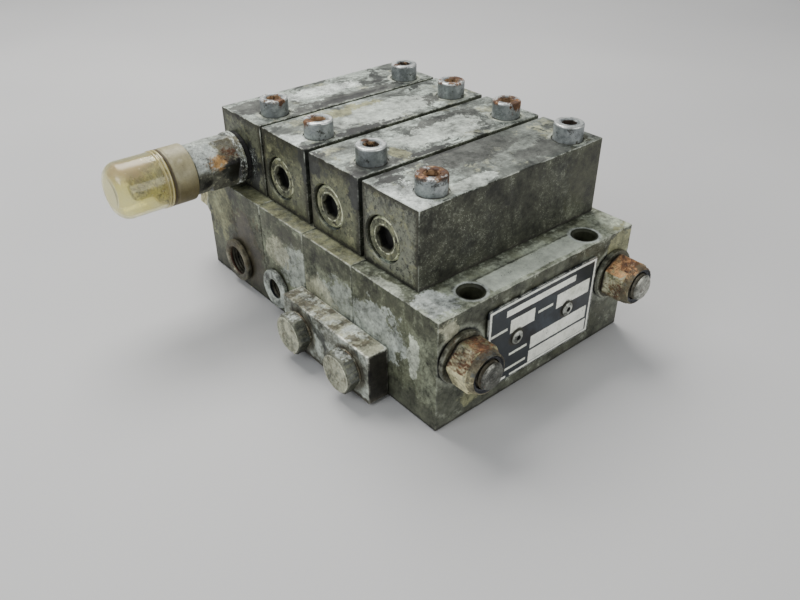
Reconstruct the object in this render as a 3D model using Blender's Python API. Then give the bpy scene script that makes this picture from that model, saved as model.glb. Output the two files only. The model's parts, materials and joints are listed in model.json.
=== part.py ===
"""A bank of hydraulic valves: four base sections clamped by two tie rods, with a valve block on each.

All sizes are metres. Every piece is placed from one corner of the base: x runs from the base's
port face, y from its nameplate face and z from its underside. An empty then moves that corner
so that the world origin lies under the midpoint of the two front fixing holes.
"""

import math

import bmesh
import bpy
from mathutils import Vector

# Clearance between pieces that touch, and between a fastener and its hole.
GAP = 0.0003
HOLE_CLEARANCE = 0.0004
# How far a cutter runs past the surface that it opens.
OVERRUN = 0.001

# Sides of the round pieces: outer shapes, holes, and the coils' wire.
ROUND = 20
HOLE_SIDES = 16
RISER_SIDES = 8
WIRE_SIDES = 4
SMOOTH_ANGLE = math.radians(35)

# Base: four sections side by side along y.
BASE_WIDTH = 0.1155
BASE_HEIGHT = 0.0528
SECTION_DEPTHS = (0.0522, 0.0350, 0.0350, 0.0518)
SECTION_CHAMFER = 0.0004
SEAMS = [sum(SECTION_DEPTHS[:i]) for i in range(len(SECTION_DEPTHS) + 1)]
BASE_DEPTH = SEAMS[-1]

# Fixing holes, straight down through the front and rear ledges.
FIXING_INSET_X = 0.0238
FIXING_INSET_Y = 0.0076
FIXING_RADIUS = 0.0045
FIXING_CHAMFER = 0.0006

# Valve blocks, one on each section.
BLOCK_LENGTH = 0.1045
BLOCK_WIDTH = 0.0334
BLOCK_TOP = 0.0880
BLOCK_LEFT = 0.0072
BLOCK_FRONTS = (0.0192, 0.0551, 0.0914, 0.1264)
BLOCK_CHAMFER = 0.0005

# M8 socket-head cap screws: two hold each block down.
SCREW_XS = (0.0215, 0.0994)
SCREW_SETBACK = 0.0093
SCREW_RADIUS = 0.0040
SCREW_HEAD_RADIUS = 0.00645
SCREW_HEAD_HEIGHT = 0.0079
SCREW_LENGTH = 0.0460
SCREW_CHAMFER = 0.0007
SCREW_SOCKET_ACROSS = 0.0060
SCREW_SOCKET_TURN = math.radians(20)
SOCKET_DEPTH = 0.0038
SPOT_FACE_RADIUS = 0.0072
SPOT_FACE_DEPTH = 0.0008

# Bore along each block for its spool, closed by a hexagon-socket plug.
BORE_SETBACK = 0.0213
BORE_Z = 0.0672
BORE_RADIUS = 0.0060
BORE_END = 0.0880
MOUTH_RADIUS = 0.0100
MOUTH_DEPTH = 0.0084
PLUG_RADIUS = 0.0094
PLUG_CHAMFER = 0.0007
PLUG_RECESS = 0.0009
PLUG_THICKNESS = 0.0070
PLUG_SOCKET_ACROSS = 0.0092
PLUG_SOCKET_TURN = math.radians(30)
SPOOL_RADIUS = 0.0057
SPOOL_LENGTH = 0.0500
SPOOL_WAIST_RADIUS = 0.0038
SPOOL_LAND = 0.0080

# Springs: mean radius of the coil, wire radius and number of turns.
SPOOL_SPRING = (0.0040, 0.00055, 6)
RELIEF_SPRING = (0.0030, 0.00045, 7)
STEPS_PER_TURN = 8

# Passages: each section's port, its riser to the block, and the gallery through all sections.
PORT_PITCH = 0.0350
FIRST_PORT_Y = 0.0415
PORT_Z = 0.0133
PASSAGE_RADIUS = 0.0045
PORT_DEPTH = 0.0345
RISER_RADIUS = 0.0030
PORT_RISER_X = 0.0310
GALLERY_X = 0.0620
GALLERY_Z = 0.0200
GALLERY_ENDS = (0.0300, 0.1500)
SEAL_POCKET_RADIUS = 0.0073
SEAL_POCKET_DEPTH = 0.0014
SEAL_RING_RADIUS = 0.0062
SEAL_WIRE_RADIUS = 0.0006

# Seats screwed into the two open ports: bore, shank and collar radii.
PORT_SEATS = {3: (0.0048, 0.0070, 0.0099), 4: (0.0072, 0.0090, 0.0110)}
SEAT_COLLAR = 0.0024
SEAT_SHANK = 0.0110
SEAT_CHAMFER = 0.0005

# Link bar over the two front ports, and its hollow bolts.
BAR_THICKNESS = 0.0106
BAR_HEIGHT = 0.0246
BAR_END_MARGIN = 0.0131
BAR_CHAMFER = 0.0005
BAR_PASSAGE_RADIUS = 0.0030
BAR_POCKET_RADIUS = 0.0086
BAR_POCKET_DEPTH = 0.0012
BOLT_RADIUS = 0.0060
BOLT_REACH = 0.0115
BOLT_CHAMFER = 0.0008
BOLT_ACROSS = 0.0170
BOLT_HEAD = 0.0059
BOLT_TURN = math.radians(90)
BOLT_BORE_RADIUS = 0.0027
BOLT_BORE_END = -0.00795
BOLT_CROSS_RADIUS = 0.0020
BOLT_SEAL_THICKNESS = 0.0010
BOLT_SEAL_RADIUS = 0.0086

# M12 tie rods, with a washer and a self-locking nut at each end.
ROD_INSET = 0.0116
ROD_Z = 0.0328
ROD_RADIUS = 0.0060
ROD_OVERHANG = 0.0178
ROD_CHAMFER = 0.0008
ROD_HOLE_RADIUS = 0.00635
WASHER_RADIUS = 0.0115
WASHER_THICKNESS = 0.0022
NUT_ACROSS = 0.0190
NUT_HEX_HEIGHT = 0.0098
NUT_HEIGHT = 0.0130
NUT_CROWN_RADII = (0.0093, 0.0081)
NUT_TURNS = {"left": math.radians(52), "right": math.radians(27)}

# Relief cartridge in the rear block: stations along x and radii.
CARTRIDGE_LEFT = -0.0310
SPIGOT_RADIUS = 0.0080
NECK_LEFT = -0.0207
NECK_RADIUS = 0.0117
HEX_LEFT = -0.0133
HEX_RIGHT = 0.0010
CARTRIDGE_ACROSS = 0.0220
CARTRIDGE_TURN = math.radians(18)
CARTRIDGE_CORE_RADIUS = 0.0105
FLANGE_RIGHT = 0.0044
FLANGE_RADIUS = 0.0125
CARTRIDGE_THREAD_RADIUS = 0.0095
CARTRIDGE_THREAD_RIGHT = 0.0150
NOSE_RADIUS = 0.0056
NOSE_RIGHT = 0.0270
ADJUSTER_BORE = 0.0069
ADJUSTER_BORE_RIGHT = -0.0060
SPRING_BORE = 0.0042
CARTRIDGE_SEAL = (0.0101, 0.0120, 0.0020)

# Pieces that the cartridge holds.
ADJUSTER_RADIUS = 0.0065
ADJUSTER_LEFT = -0.0470
ADJUSTER_RIGHT = -0.0096
ADJUSTER_PIN_RADIUS = 0.0022
ADJUSTER_CHAMFER = 0.0006
ADJUSTER_SLOT = (0.0024, 0.0030)
SPRING_SEAT = (-0.0030, -0.0005, 0.0038)
LOCK_NUT = (-0.0363, -0.0313, 0.0190)
POPPET_LEFT = 0.0200
POPPET_SHOULDER = 0.0375
POPPET_RIGHT = 0.0412
POPPET_RADII = (0.0039, 0.0016)
VALVE_SEAT_X = 0.0400
VALVE_SEAT_RADIUS = 0.0026

# Plastic cover of the cartridge: an opaque collar and a clear cap.
COLLAR_LEFT = -0.0324
COLLAR_RADIUS = 0.0131
COLLAR_BORE_RADIUS = 0.0117
COLLAR_LIP_RADIUS = 0.0083
COLLAR_LIP = 0.0020
CAP_LEFT = -0.0568
CAP_RADIUS = 0.0129
CAP_RIM_RADIUS = 0.0132
CAP_RIM = 0.0030
CAP_WALL = 0.0012
CAP_ROUNDING = 0.0062
CAP_ARC_STEPS = 4

# Nameplate and its two blind rivets.
PLATE_CENTRE = (0.0583, 0.0270)
PLATE_SIZE = (0.0662, 0.0392)
PLATE_THICKNESS = 0.0008
PLATE_CORNER = 0.0006
RIVET_SPACING = 0.0312
RIVET_Z = 0.0272
RIVET_HEAD_RADIUS = 0.0033
RIVET_HEAD_HEIGHT = 0.0012
RIVET_RIM_HEIGHT = 0.0004
RIVET_CROWN_RADIUS = 0.0023
RIVET_RADIUS = 0.0013
RIVET_LENGTH = 0.0060
RIVET_HOLE_RADIUS = 0.0017
RIVET_DIMPLE = (0.0008, 0.0009)

# Rotations that turn a shape's own +Z to a world direction.
UPRIGHT = (0.0, 0.0, 0.0)
TO_RIGHT = (0.0, math.radians(90), 0.0)
TO_LEFT = (0.0, math.radians(-90), 0.0)
TO_REAR = (math.radians(-90), 0.0, 0.0)
TO_FRONT = (math.radians(90), 0.0, 0.0)

# Colour (linear RGB), roughness and metallic value of each finish.
FINISHES = {
    "base_zinc": ((0.22, 0.22, 0.20), 0.62, 0.75),
    "block_zinc": ((0.34, 0.35, 0.34), 0.55, 0.75),
    "screw_zinc": ((0.26, 0.27, 0.29), 0.45, 0.90),
    "plug_steel": ((0.20, 0.20, 0.17), 0.50, 0.90),
    "bar_steel": ((0.42, 0.40, 0.34), 0.60, 0.60),
    "bolt_steel": ((0.34, 0.34, 0.30), 0.55, 0.70),
    "rod_steel": ((0.40, 0.40, 0.38), 0.38, 1.00),
    "rusty_steel": ((0.30, 0.13, 0.06), 0.80, 0.30),
    "washer_steel": ((0.20, 0.19, 0.17), 0.60, 0.80),
    "seat_steel": ((0.40, 0.41, 0.43), 0.40, 0.90),
    "cartridge_zinc": ((0.48, 0.48, 0.46), 0.65, 0.40),
    "bright_steel": ((0.55, 0.56, 0.57), 0.25, 1.00),
    "spring_steel": ((0.30, 0.31, 0.32), 0.35, 1.00),
    "copper": ((0.60, 0.28, 0.14), 0.40, 1.00),
    "seal_rubber": ((0.015, 0.015, 0.015), 0.75, 0.00),
    "collar_plastic": ((0.30, 0.25, 0.19), 0.50, 0.00),
    "clear_plastic": ((0.85, 0.80, 0.55), 0.12, 0.00),
    "plate_print": ((0.03, 0.035, 0.045), 0.35, 0.20),
    "rivet_aluminium": ((0.45, 0.45, 0.43), 0.40, 0.90),
}


def clear_scene():
    for found in list(bpy.data.objects):
        bpy.data.objects.remove(found, do_unlink=True)


def finish(name):
    """The Principled material of one finish, made once."""
    made = bpy.data.materials.get(name)
    if made:
        return made
    colour, roughness, metallic = FINISHES[name]
    made = bpy.data.materials.new(name)
    made.use_nodes = True
    shader = made.node_tree.nodes["Principled BSDF"]
    shader.inputs["Base Color"].default_value = (*colour, 1.0)
    shader.inputs["Roughness"].default_value = roughness
    shader.inputs["Metallic"].default_value = metallic
    made.diffuse_color = (*colour, 1.0)
    return made


def make_frame():
    """The empty that every piece is placed from, at the base's front corner on the port side."""
    frame = bpy.data.objects.new("base_corner", None)
    frame.location = (-BASE_WIDTH / 2, -FIXING_INSET_Y, 0.0)
    bpy.context.scene.collection.objects.link(frame)
    return frame


def place(name, shape, finish_name, at, turned_to=UPRIGHT):
    """Makes a named piece from a bmesh, with its own origin at the given point."""
    mesh = bpy.data.meshes.new(name)
    shape.to_mesh(mesh)
    shape.free()
    mesh.shade_smooth()
    mesh.set_sharp_from_angle(angle=SMOOTH_ANGLE)
    piece = bpy.data.objects.new(name, mesh)
    piece.location = at
    piece.rotation_euler = turned_to
    piece.parent = FRAME
    bpy.context.scene.collection.objects.link(piece)
    if finish_name:
        mesh.materials.append(finish(finish_name))
    return piece


def as_tool(piece):
    """Marks a piece as a Boolean's operand, which isn't part of the model."""
    piece.hide_render = True
    piece.display_type = "WIRE"
    return piece


def combine(piece, tool, operation="DIFFERENCE"):
    modifier = piece.modifiers.new(operation.title(), "BOOLEAN")
    modifier.operation = operation
    modifier.object = tool
    modifier.solver = "EXACT"


def chamfer(piece, width):
    modifier = piece.modifiers.new("Chamfer", "BEVEL")
    modifier.width = width
    modifier.segments = 1
    modifier.limit_method = "ANGLE"


def box(low, high):
    """A box between two corners, as a bmesh about its own centre, and that centre."""
    low, high = Vector(low), Vector(high)
    shape = bmesh.new()
    bmesh.ops.create_cube(shape, size=1.0)
    bmesh.ops.scale(shape, vec=high - low, verts=shape.verts)
    return shape, (low + high) / 2


def turn(outline, sides=ROUND, phase=0.0):
    """Turns (radius, height) points about +Z. An outline that never reaches the axis has a bore."""
    shape = bmesh.new()
    rings = []
    for radius, height in outline:
        if radius == 0:
            rings.append([shape.verts.new((0.0, 0.0, height))] * sides)
            continue
        angles = [phase + math.tau * side / sides for side in range(sides)]
        rings.append([shape.verts.new((radius * math.cos(a), radius * math.sin(a), height)) for a in angles])
    joined = list(zip(rings, rings[1:]))
    if outline[0][0] > 0:
        joined.append((rings[-1], rings[0]))
    for lower, upper in joined:
        for side in range(sides):
            after = (side + 1) % sides
            corners = dict.fromkeys((lower[side], lower[after], upper[after], upper[side]))
            shape.faces.new(corners)
    bmesh.ops.recalc_face_normals(shape, faces=shape.faces)
    return shape


def rod_shape(radius, length, sides=ROUND, edge=0.0):
    """A solid cylinder standing on its origin, with both ends chamfered by edge."""
    outline = [(0, 0), (radius - edge, 0), (radius, edge)]
    outline += [(radius, length - edge), (radius - edge, length), (0, length)]
    return turn(list(dict.fromkeys(outline)), sides)


def ring_shape(inner, outer, thickness, sides=ROUND):
    return turn([(inner, 0), (outer, 0), (outer, thickness), (inner, thickness)], sides)


def hexagon_shape(across_flats, height, phase=0.0, edge=0.0):
    """A hexagonal prism standing on its origin. Its first corner is at the phase angle."""
    corner = across_flats / math.sqrt(3)
    outline = [(0, 0), (corner, 0), (corner, height - edge), (corner - edge, height), (0, height)]
    return turn(list(dict.fromkeys(outline)), 6, phase)


def coil_shape(coil_radius, wire_radius, turns, length):
    """A helical spring from its origin up +Z, with the wire's ends filled."""
    steps = turns * STEPS_PER_TURN
    rise = length - 2 * wire_radius
    shape = bmesh.new()
    sections = []
    for step in range(steps + 1):
        angle = math.tau * step / STEPS_PER_TURN
        height = wire_radius + rise * step / steps
        section = []
        for side in range(WIRE_SIDES):
            around = math.tau * side / WIRE_SIDES
            radius = coil_radius + wire_radius * math.cos(around)
            level = height + wire_radius * math.sin(around)
            section.append(shape.verts.new((radius * math.cos(angle), radius * math.sin(angle), level)))
        sections.append(section)
    for here, following in zip(sections, sections[1:]):
        for side in range(WIRE_SIDES):
            after = (side + 1) % WIRE_SIDES
            shape.faces.new((here[side], here[after], following[after], following[side]))
    shape.faces.new(sections[0])
    shape.faces.new(sections[-1])
    bmesh.ops.recalc_face_normals(shape, faces=shape.faces)
    return shape


def drill(name, start, turned_to, *steps, sides=HOLE_SIDES):
    """A cutter for a stepped round hole, from its starting point along the turned +Z.

    Each step is (radius, how deep that radius goes, from the start). A flat of the hole, not an
    edge, lies on each of its axes, so that crossing holes share no edge.
    """
    outline = [(0, 0)]
    level = 0
    for radius, depth in steps:
        outline += [(radius, level), (radius, depth)]
        level = depth
    outline.append((0, level))
    return as_tool(place(name, turn(outline, sides, math.pi / sides), None, start, turned_to))


def port_y(number):
    return FIRST_PORT_Y + PORT_PITCH * (number - 1)


def bore_y(number):
    return BLOCK_FRONTS[number - 1] + BORE_SETBACK


def screw_y(number):
    return BLOCK_FRONTS[number - 1] + SCREW_SETBACK


def through_base_cutters():
    """Cutters shared by all four sections: the tie-rod holes, and the gallery with its seal pockets."""
    length = BASE_DEPTH + 2 * OVERRUN
    cutters = []
    for side, x in rod_places():
        cutters.append(drill(f"cut_rod_{side}", (x, -OVERRUN, ROD_Z), TO_REAR, (ROD_HOLE_RADIUS, length)))
    start, end = GALLERY_ENDS
    steps = []
    for seam in SEAMS[1:-1]:
        steps.append((PASSAGE_RADIUS, seam - start))
        steps.append((SEAL_POCKET_RADIUS, seam - start + SEAL_POCKET_DEPTH))
    steps.append((PASSAGE_RADIUS, end - start))
    cutters.append(drill("cut_gallery", (GALLERY_X, start, GALLERY_Z), TO_REAR, *steps))
    return cutters


def rod_places():
    return (("left", ROD_INSET), ("right", BASE_WIDTH - ROD_INSET))


def riser_cutters(number):
    """The two risers of one slice, from its port and from the gallery up into its block's bore."""
    risers = []
    for use, x, bottom in (("port", PORT_RISER_X, PORT_Z), ("gallery", GALLERY_X, GALLERY_Z)):
        start = (x, port_y(number), bottom)
        step = (RISER_RADIUS, BORE_Z - bottom)
        risers.append(drill(f"cut_{use}_riser_{number}", start, UPRIGHT, step, sides=RISER_SIDES))
    return risers


def screw_cutters(number):
    """The two cap-screw holes of one slice, shared by its section and its block."""
    bottom = screw_seat_z() - SCREW_LENGTH - OVERRUN
    shank = (SCREW_RADIUS + HOLE_CLEARANCE, BLOCK_TOP - SPOT_FACE_DEPTH - bottom)
    spot_face = (SPOT_FACE_RADIUS, BLOCK_TOP + OVERRUN - bottom)
    return [
        drill(f"cut_screw_{number}_{side}", (x, screw_y(number), bottom), UPRIGHT, shank, spot_face)
        for side, x in zip(("left", "right"), SCREW_XS)
    ]


def screw_seat_z():
    """Height of the underside of a cap screw's head."""
    return BLOCK_TOP - SPOT_FACE_DEPTH + GAP


def port_cutter(number):
    """The port's passage, wide enough at its mouth for the seat or the hollow bolt."""
    seat = PORT_SEATS.get(number)
    mouth_radius = (seat[1] if seat else BOLT_RADIUS) + HOLE_CLEARANCE
    mouth_depth = (SEAT_SHANK if seat else BOLT_REACH) + OVERRUN
    mouth = (mouth_radius, OVERRUN + mouth_depth)
    passage = (PASSAGE_RADIUS, OVERRUN + PORT_DEPTH)
    return drill(f"cut_port_{number}", (-OVERRUN, port_y(number), PORT_Z), TO_RIGHT, mouth, passage)


def fixing_cutters(number, y):
    """The fixing holes of an end section, flared at the top."""
    flare = BASE_HEIGHT - FIXING_CHAMFER
    top = BASE_HEIGHT + OVERRUN
    outline = [
        (0, -OVERRUN),
        (FIXING_RADIUS, -OVERRUN),
        (FIXING_RADIUS, flare),
        (FIXING_RADIUS + FIXING_CHAMFER + OVERRUN, top),
        (0, top),
    ]
    cutters = []
    for side, x in (("left", FIXING_INSET_X), ("right", BASE_WIDTH - FIXING_INSET_X)):
        name = f"cut_fixing_{number}_{side}"
        cutters.append(as_tool(place(name, turn(outline, HOLE_SIDES), None, (x, y, 0))))
    return cutters


def base_section(number, shared):
    """One slice of the base, drilled for its rods, port, gallery, screws and fixings."""
    first, last = number == 1, number == len(SECTION_DEPTHS)
    front = SEAMS[number - 1] + (0 if first else GAP / 2)
    rear = SEAMS[number] - (0 if last else GAP / 2)
    shape, centre = box((0, front, 0), (BASE_WIDTH, rear, BASE_HEIGHT))
    section = place(f"base_section_{number}", shape, "base_zinc", centre)
    chamfer(section, SECTION_CHAMFER)
    tools = shared + [port_cutter(number)] + riser_cutters(number) + screw_cutters(number)
    if first:
        tools += fixing_cutters(number, FIXING_INSET_Y) + rivet_cutters()
    if last:
        tools += fixing_cutters(number, BASE_DEPTH - FIXING_INSET_Y)
    for tool in tools:
        combine(section, tool)


def section_seal(number):
    """The O-ring round the gallery, in the front face of sections 2 to 4."""
    outline = []
    for step in range(WIRE_SIDES):
        angle = math.tau * step / WIRE_SIDES
        radius = SEAL_RING_RADIUS + SEAL_WIRE_RADIUS * math.cos(angle)
        outline.append((radius, SEAL_WIRE_RADIUS * math.sin(angle)))
    at = (GALLERY_X, SEAMS[number - 1] + SEAL_POCKET_DEPTH / 2, GALLERY_Z)
    place(f"section_seal_{number}", turn(outline, HOLE_SIDES), "seal_rubber", at, TO_REAR)


def tie_rod(side, x):
    length = BASE_DEPTH + 2 * ROD_OVERHANG
    place(f"tie_rod_{side}", rod_shape(ROD_RADIUS, length, ROUND, ROD_CHAMFER), "rod_steel",
          (x, -ROD_OVERHANG, ROD_Z), TO_REAR)


def tie_rod_end(end, side, x):
    """A washer and a self-locking nut on one end of one tie rod."""
    outward, turned_to = (-1, TO_FRONT) if end == "front" else (1, TO_REAR)
    face = 0.0 if end == "front" else BASE_DEPTH
    washer_y = face + outward * GAP
    nut_y = washer_y + outward * (WASHER_THICKNESS + GAP)
    washer = ring_shape(ROD_RADIUS + HOLE_CLEARANCE, WASHER_RADIUS, WASHER_THICKNESS)
    place(f"tie_washer_{end}_{side}", washer, "washer_steel", (x, washer_y, ROD_Z), turned_to)
    name = f"tie_nut_{end}_{side}"
    at = (x, nut_y, ROD_Z)
    hexagon = hexagon_shape(NUT_ACROSS, NUT_HEX_HEIGHT, NUT_TURNS[side])
    nut = place(name, hexagon, "rusty_steel", at, turned_to)
    wide, narrow = NUT_CROWN_RADII
    outline = [(0, OVERRUN), (wide, OVERRUN), (wide, NUT_HEX_HEIGHT), (narrow, NUT_HEIGHT), (0, NUT_HEIGHT)]
    crown = turn(outline)
    combine(nut, as_tool(place(f"crown_{name}", crown, None, at, turned_to)), "UNION")
    hole_y = nut_y - outward * OVERRUN
    radius = ROD_RADIUS + HOLE_CLEARANCE
    hole = (radius, NUT_HEIGHT + 2 * OVERRUN)
    combine(nut, drill(f"cut_{name}", (x, hole_y, ROD_Z), turned_to, hole, sides=ROUND))


def valve_block(number):
    """One valve block, with its spool bore, screw holes and the passages from its section."""
    front = BLOCK_FRONTS[number - 1]
    low = (BLOCK_LEFT, front, BASE_HEIGHT + GAP)
    high = (BLOCK_LEFT + BLOCK_LENGTH, front + BLOCK_WIDTH, BLOCK_TOP)
    shape, centre = box(low, high)
    block = place(f"valve_block_{number}", shape, "block_zinc", centre)
    chamfer(block, BLOCK_CHAMFER)
    outside = (BLOCK_LEFT - OVERRUN, bore_y(number), BORE_Z)
    steps = [(MOUTH_RADIUS, OVERRUN + MOUTH_DEPTH), (BORE_RADIUS, BORE_END - outside[0])]
    if number == 4:
        steps[1:] = [(BORE_RADIUS, VALVE_SEAT_X - outside[0]), (VALVE_SEAT_RADIUS, BORE_END - outside[0])]
    tools = [drill(f"cut_bore_{number}", outside, TO_RIGHT, *steps)]
    shared = [f"cut_screw_{number}_{side}" for side in ("left", "right")]
    shared += [f"cut_{use}_riser_{number}" for use in ("port", "gallery")]
    tools += [bpy.data.objects[name] for name in shared]
    for tool in tools:
        combine(block, tool)


def cap_screw(number, side, x):
    seat = screw_seat_z()
    edge = SCREW_CHAMFER
    outline = [
        (0, -SCREW_LENGTH),
        (SCREW_RADIUS - edge, -SCREW_LENGTH),
        (SCREW_RADIUS, edge - SCREW_LENGTH),
        (SCREW_RADIUS, 0),
        (SCREW_HEAD_RADIUS, 0),
        (SCREW_HEAD_RADIUS, SCREW_HEAD_HEIGHT - edge),
        (SCREW_HEAD_RADIUS - edge, SCREW_HEAD_HEIGHT),
        (0, SCREW_HEAD_HEIGHT),
    ]
    name = f"cap_screw_{number}_{side}"
    y = screw_y(number)
    screw = place(name, turn(outline, HOLE_SIDES), "screw_zinc", (x, y, seat))
    floor = (x, y, seat + SCREW_HEAD_HEIGHT - SOCKET_DEPTH)
    socket = hexagon_shape(SCREW_SOCKET_ACROSS, SOCKET_DEPTH + OVERRUN, SCREW_SOCKET_TURN)
    combine(screw, as_tool(place(f"cut_socket_{name}", socket, None, floor)))


def bore_plug(number):
    """The headless plug in the mouth of a block's bore, with its socket facing out."""
    x = BLOCK_LEFT + PLUG_RECESS + PLUG_THICKNESS
    at = (x, bore_y(number), BORE_Z)
    shape = rod_shape(PLUG_RADIUS, PLUG_THICKNESS, ROUND, PLUG_CHAMFER)
    plug = place(f"bore_plug_{number}", shape, "plug_steel", at, TO_LEFT)
    floor = (x - PLUG_THICKNESS + SOCKET_DEPTH, bore_y(number), BORE_Z)
    socket = hexagon_shape(PLUG_SOCKET_ACROSS, SOCKET_DEPTH + OVERRUN, PLUG_SOCKET_TURN)
    combine(plug, as_tool(place(f"cut_plug_socket_{number}", socket, None, floor, TO_LEFT)))


def spool(number):
    """A spool with a land at each end, resting against the plug, and the spring behind it.

    At rest its far land closes the riser from the gallery. Pushed in, it opens that riser to the
    waist between the lands, and so to the riser from the port.
    """
    start = BLOCK_LEFT + PLUG_RECESS + PLUG_THICKNESS + GAP
    outline = [
        (0, 0),
        (SPOOL_RADIUS, 0),
        (SPOOL_RADIUS, SPOOL_LAND),
        (SPOOL_WAIST_RADIUS, SPOOL_LAND),
        (SPOOL_WAIST_RADIUS, SPOOL_LENGTH - SPOOL_LAND),
        (SPOOL_RADIUS, SPOOL_LENGTH - SPOOL_LAND),
        (SPOOL_RADIUS, SPOOL_LENGTH),
        (0, SPOOL_LENGTH),
    ]
    y = bore_y(number)
    place(f"spool_{number}", turn(outline, HOLE_SIDES), "bright_steel", (start, y, BORE_Z), TO_RIGHT)
    spring_start = start + SPOOL_LENGTH + GAP
    coil = coil_shape(*SPOOL_SPRING, BORE_END - GAP - spring_start)
    place(f"spool_spring_{number}", coil, "spring_steel", (spring_start, y, BORE_Z), TO_RIGHT)


def port_seat(number):
    """The collared seat in an open port."""
    bore, shank, collar = PORT_SEATS[number]
    face = GAP + SEAT_COLLAR
    edge = SEAT_CHAMFER
    outline = [
        (bore, -SEAT_SHANK),
        (shank, -SEAT_SHANK),
        (shank, GAP),
        (collar, GAP),
        (collar, face - edge),
        (collar - edge, face),
        (bore + edge, face),
        (bore, face - edge),
    ]
    place(f"port_seat_{number}", turn(outline), "seat_steel", (0, port_y(number), PORT_Z), TO_LEFT)


def link_bar():
    """The bar that joins the two front ports, bored for its bolts and along its length."""
    outer = -(GAP + BAR_THICKNESS)
    low = (outer, port_y(1) - BAR_END_MARGIN, PORT_Z - BAR_HEIGHT / 2)
    high = (-GAP, port_y(2) + BAR_END_MARGIN, PORT_Z + BAR_HEIGHT / 2)
    shape, centre = box(low, high)
    bar = place("link_bar", shape, "bar_steel", centre)
    chamfer(bar, BAR_CHAMFER)
    for number in (1, 2):
        pocket = (BAR_POCKET_RADIUS, OVERRUN + GAP + BAR_POCKET_DEPTH)
        bore = (BOLT_RADIUS + HOLE_CLEARANCE, OVERRUN - outer + OVERRUN)
        combine(bar, drill(f"cut_bar_{number}", (OVERRUN, port_y(number), PORT_Z), TO_LEFT, pocket, bore))
    middle = (-GAP - BAR_THICKNESS / 2, port_y(1), PORT_Z)
    combine(bar, drill("cut_bar_passage", middle, TO_REAR, (BAR_PASSAGE_RADIUS, PORT_PITCH)))


def hollow_bolt(number):
    """A banjo bolt through the link bar, with a sealing ring on each side of the bar."""
    y = port_y(number)
    bar_face = -(GAP + BAR_THICKNESS)
    seal_face = bar_face - GAP / 2 - BOLT_SEAL_THICKNESS
    head_face = seal_face - GAP / 2
    inner = BOLT_RADIUS + HOLE_CLEARANCE
    seal = ring_shape(inner, BOLT_SEAL_RADIUS, BOLT_SEAL_THICKNESS)
    place(f"bolt_seal_outer_{number}", seal, "copper", (seal_face, y, PORT_Z), TO_RIGHT)
    seal = ring_shape(inner, BAR_POCKET_RADIUS - GAP, BOLT_SEAL_THICKNESS)
    place(f"bolt_seal_inner_{number}", seal, "copper", (-GAP / 2, y, PORT_Z), TO_LEFT)
    at = (head_face, y, PORT_Z)
    head = hexagon_shape(BOLT_ACROSS, BOLT_HEAD, BOLT_TURN)
    bolt = place(f"hollow_bolt_{number}", head, "bolt_steel", at, TO_LEFT)
    tip = (BOLT_REACH, y, PORT_Z)
    shank_length = BOLT_REACH - head_face + OVERRUN
    shank = rod_shape(BOLT_RADIUS, shank_length, HOLE_SIDES, BOLT_CHAMFER)
    combine(bolt, as_tool(place(f"shank_{number}", shank, None, tip, TO_LEFT)), "UNION")
    mouth = BOLT_REACH + OVERRUN
    bore = (BOLT_BORE_RADIUS, mouth - BOLT_BORE_END)
    combine(bolt, drill(f"cut_bolt_bore_{number}", (mouth, y, PORT_Z), TO_LEFT, bore))
    cross = (-GAP - BAR_THICKNESS / 2, y - BOLT_RADIUS - OVERRUN, PORT_Z)
    across = (BOLT_CROSS_RADIUS, 2 * (BOLT_RADIUS + OVERRUN))
    combine(bolt, drill(f"cut_bolt_cross_{number}", cross, TO_REAR, across, sides=RISER_SIDES))


def cartridge_body(y):
    """The relief cartridge's body, a turned shape with a hexagon for the spanner."""
    outline = [
        (ADJUSTER_BORE, CARTRIDGE_LEFT),
        (SPIGOT_RADIUS, CARTRIDGE_LEFT),
        (SPIGOT_RADIUS, NECK_LEFT),
        (NECK_RADIUS, NECK_LEFT),
        (NECK_RADIUS, HEX_LEFT),
        (CARTRIDGE_CORE_RADIUS, HEX_LEFT + OVERRUN),
        (CARTRIDGE_CORE_RADIUS, HEX_RIGHT - OVERRUN),
        (FLANGE_RADIUS, HEX_RIGHT),
        (FLANGE_RADIUS, FLANGE_RIGHT),
        (CARTRIDGE_THREAD_RADIUS, FLANGE_RIGHT),
        (CARTRIDGE_THREAD_RADIUS, CARTRIDGE_THREAD_RIGHT),
        (NOSE_RADIUS, CARTRIDGE_THREAD_RIGHT),
        (NOSE_RADIUS, NOSE_RIGHT),
        (SPRING_BORE, NOSE_RIGHT),
        (SPRING_BORE, ADJUSTER_BORE_RIGHT),
        (ADJUSTER_BORE, ADJUSTER_BORE_RIGHT),
    ]
    at = (0, y, BORE_Z)
    body = place("cartridge_body", turn(outline), "cartridge_zinc", at, TO_RIGHT)
    length = HEX_RIGHT - HEX_LEFT
    corner = CARTRIDGE_ACROSS / math.sqrt(3)
    inner = CARTRIDGE_CORE_RADIUS - OVERRUN
    hexagon = turn([(inner, 0), (corner, 0), (corner, length), (inner, length)], 6, CARTRIDGE_TURN)
    hexagon_at = (HEX_LEFT, y, BORE_Z)
    combine(body, as_tool(place("cartridge_hexagon", hexagon, None, hexagon_at, TO_RIGHT)), "UNION")
    inner, outer, thickness = CARTRIDGE_SEAL
    seal = ring_shape(inner, outer, thickness)
    place("cartridge_seal", seal, "seal_rubber", (FLANGE_RIGHT + GAP, y, BORE_Z), TO_RIGHT)


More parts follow.
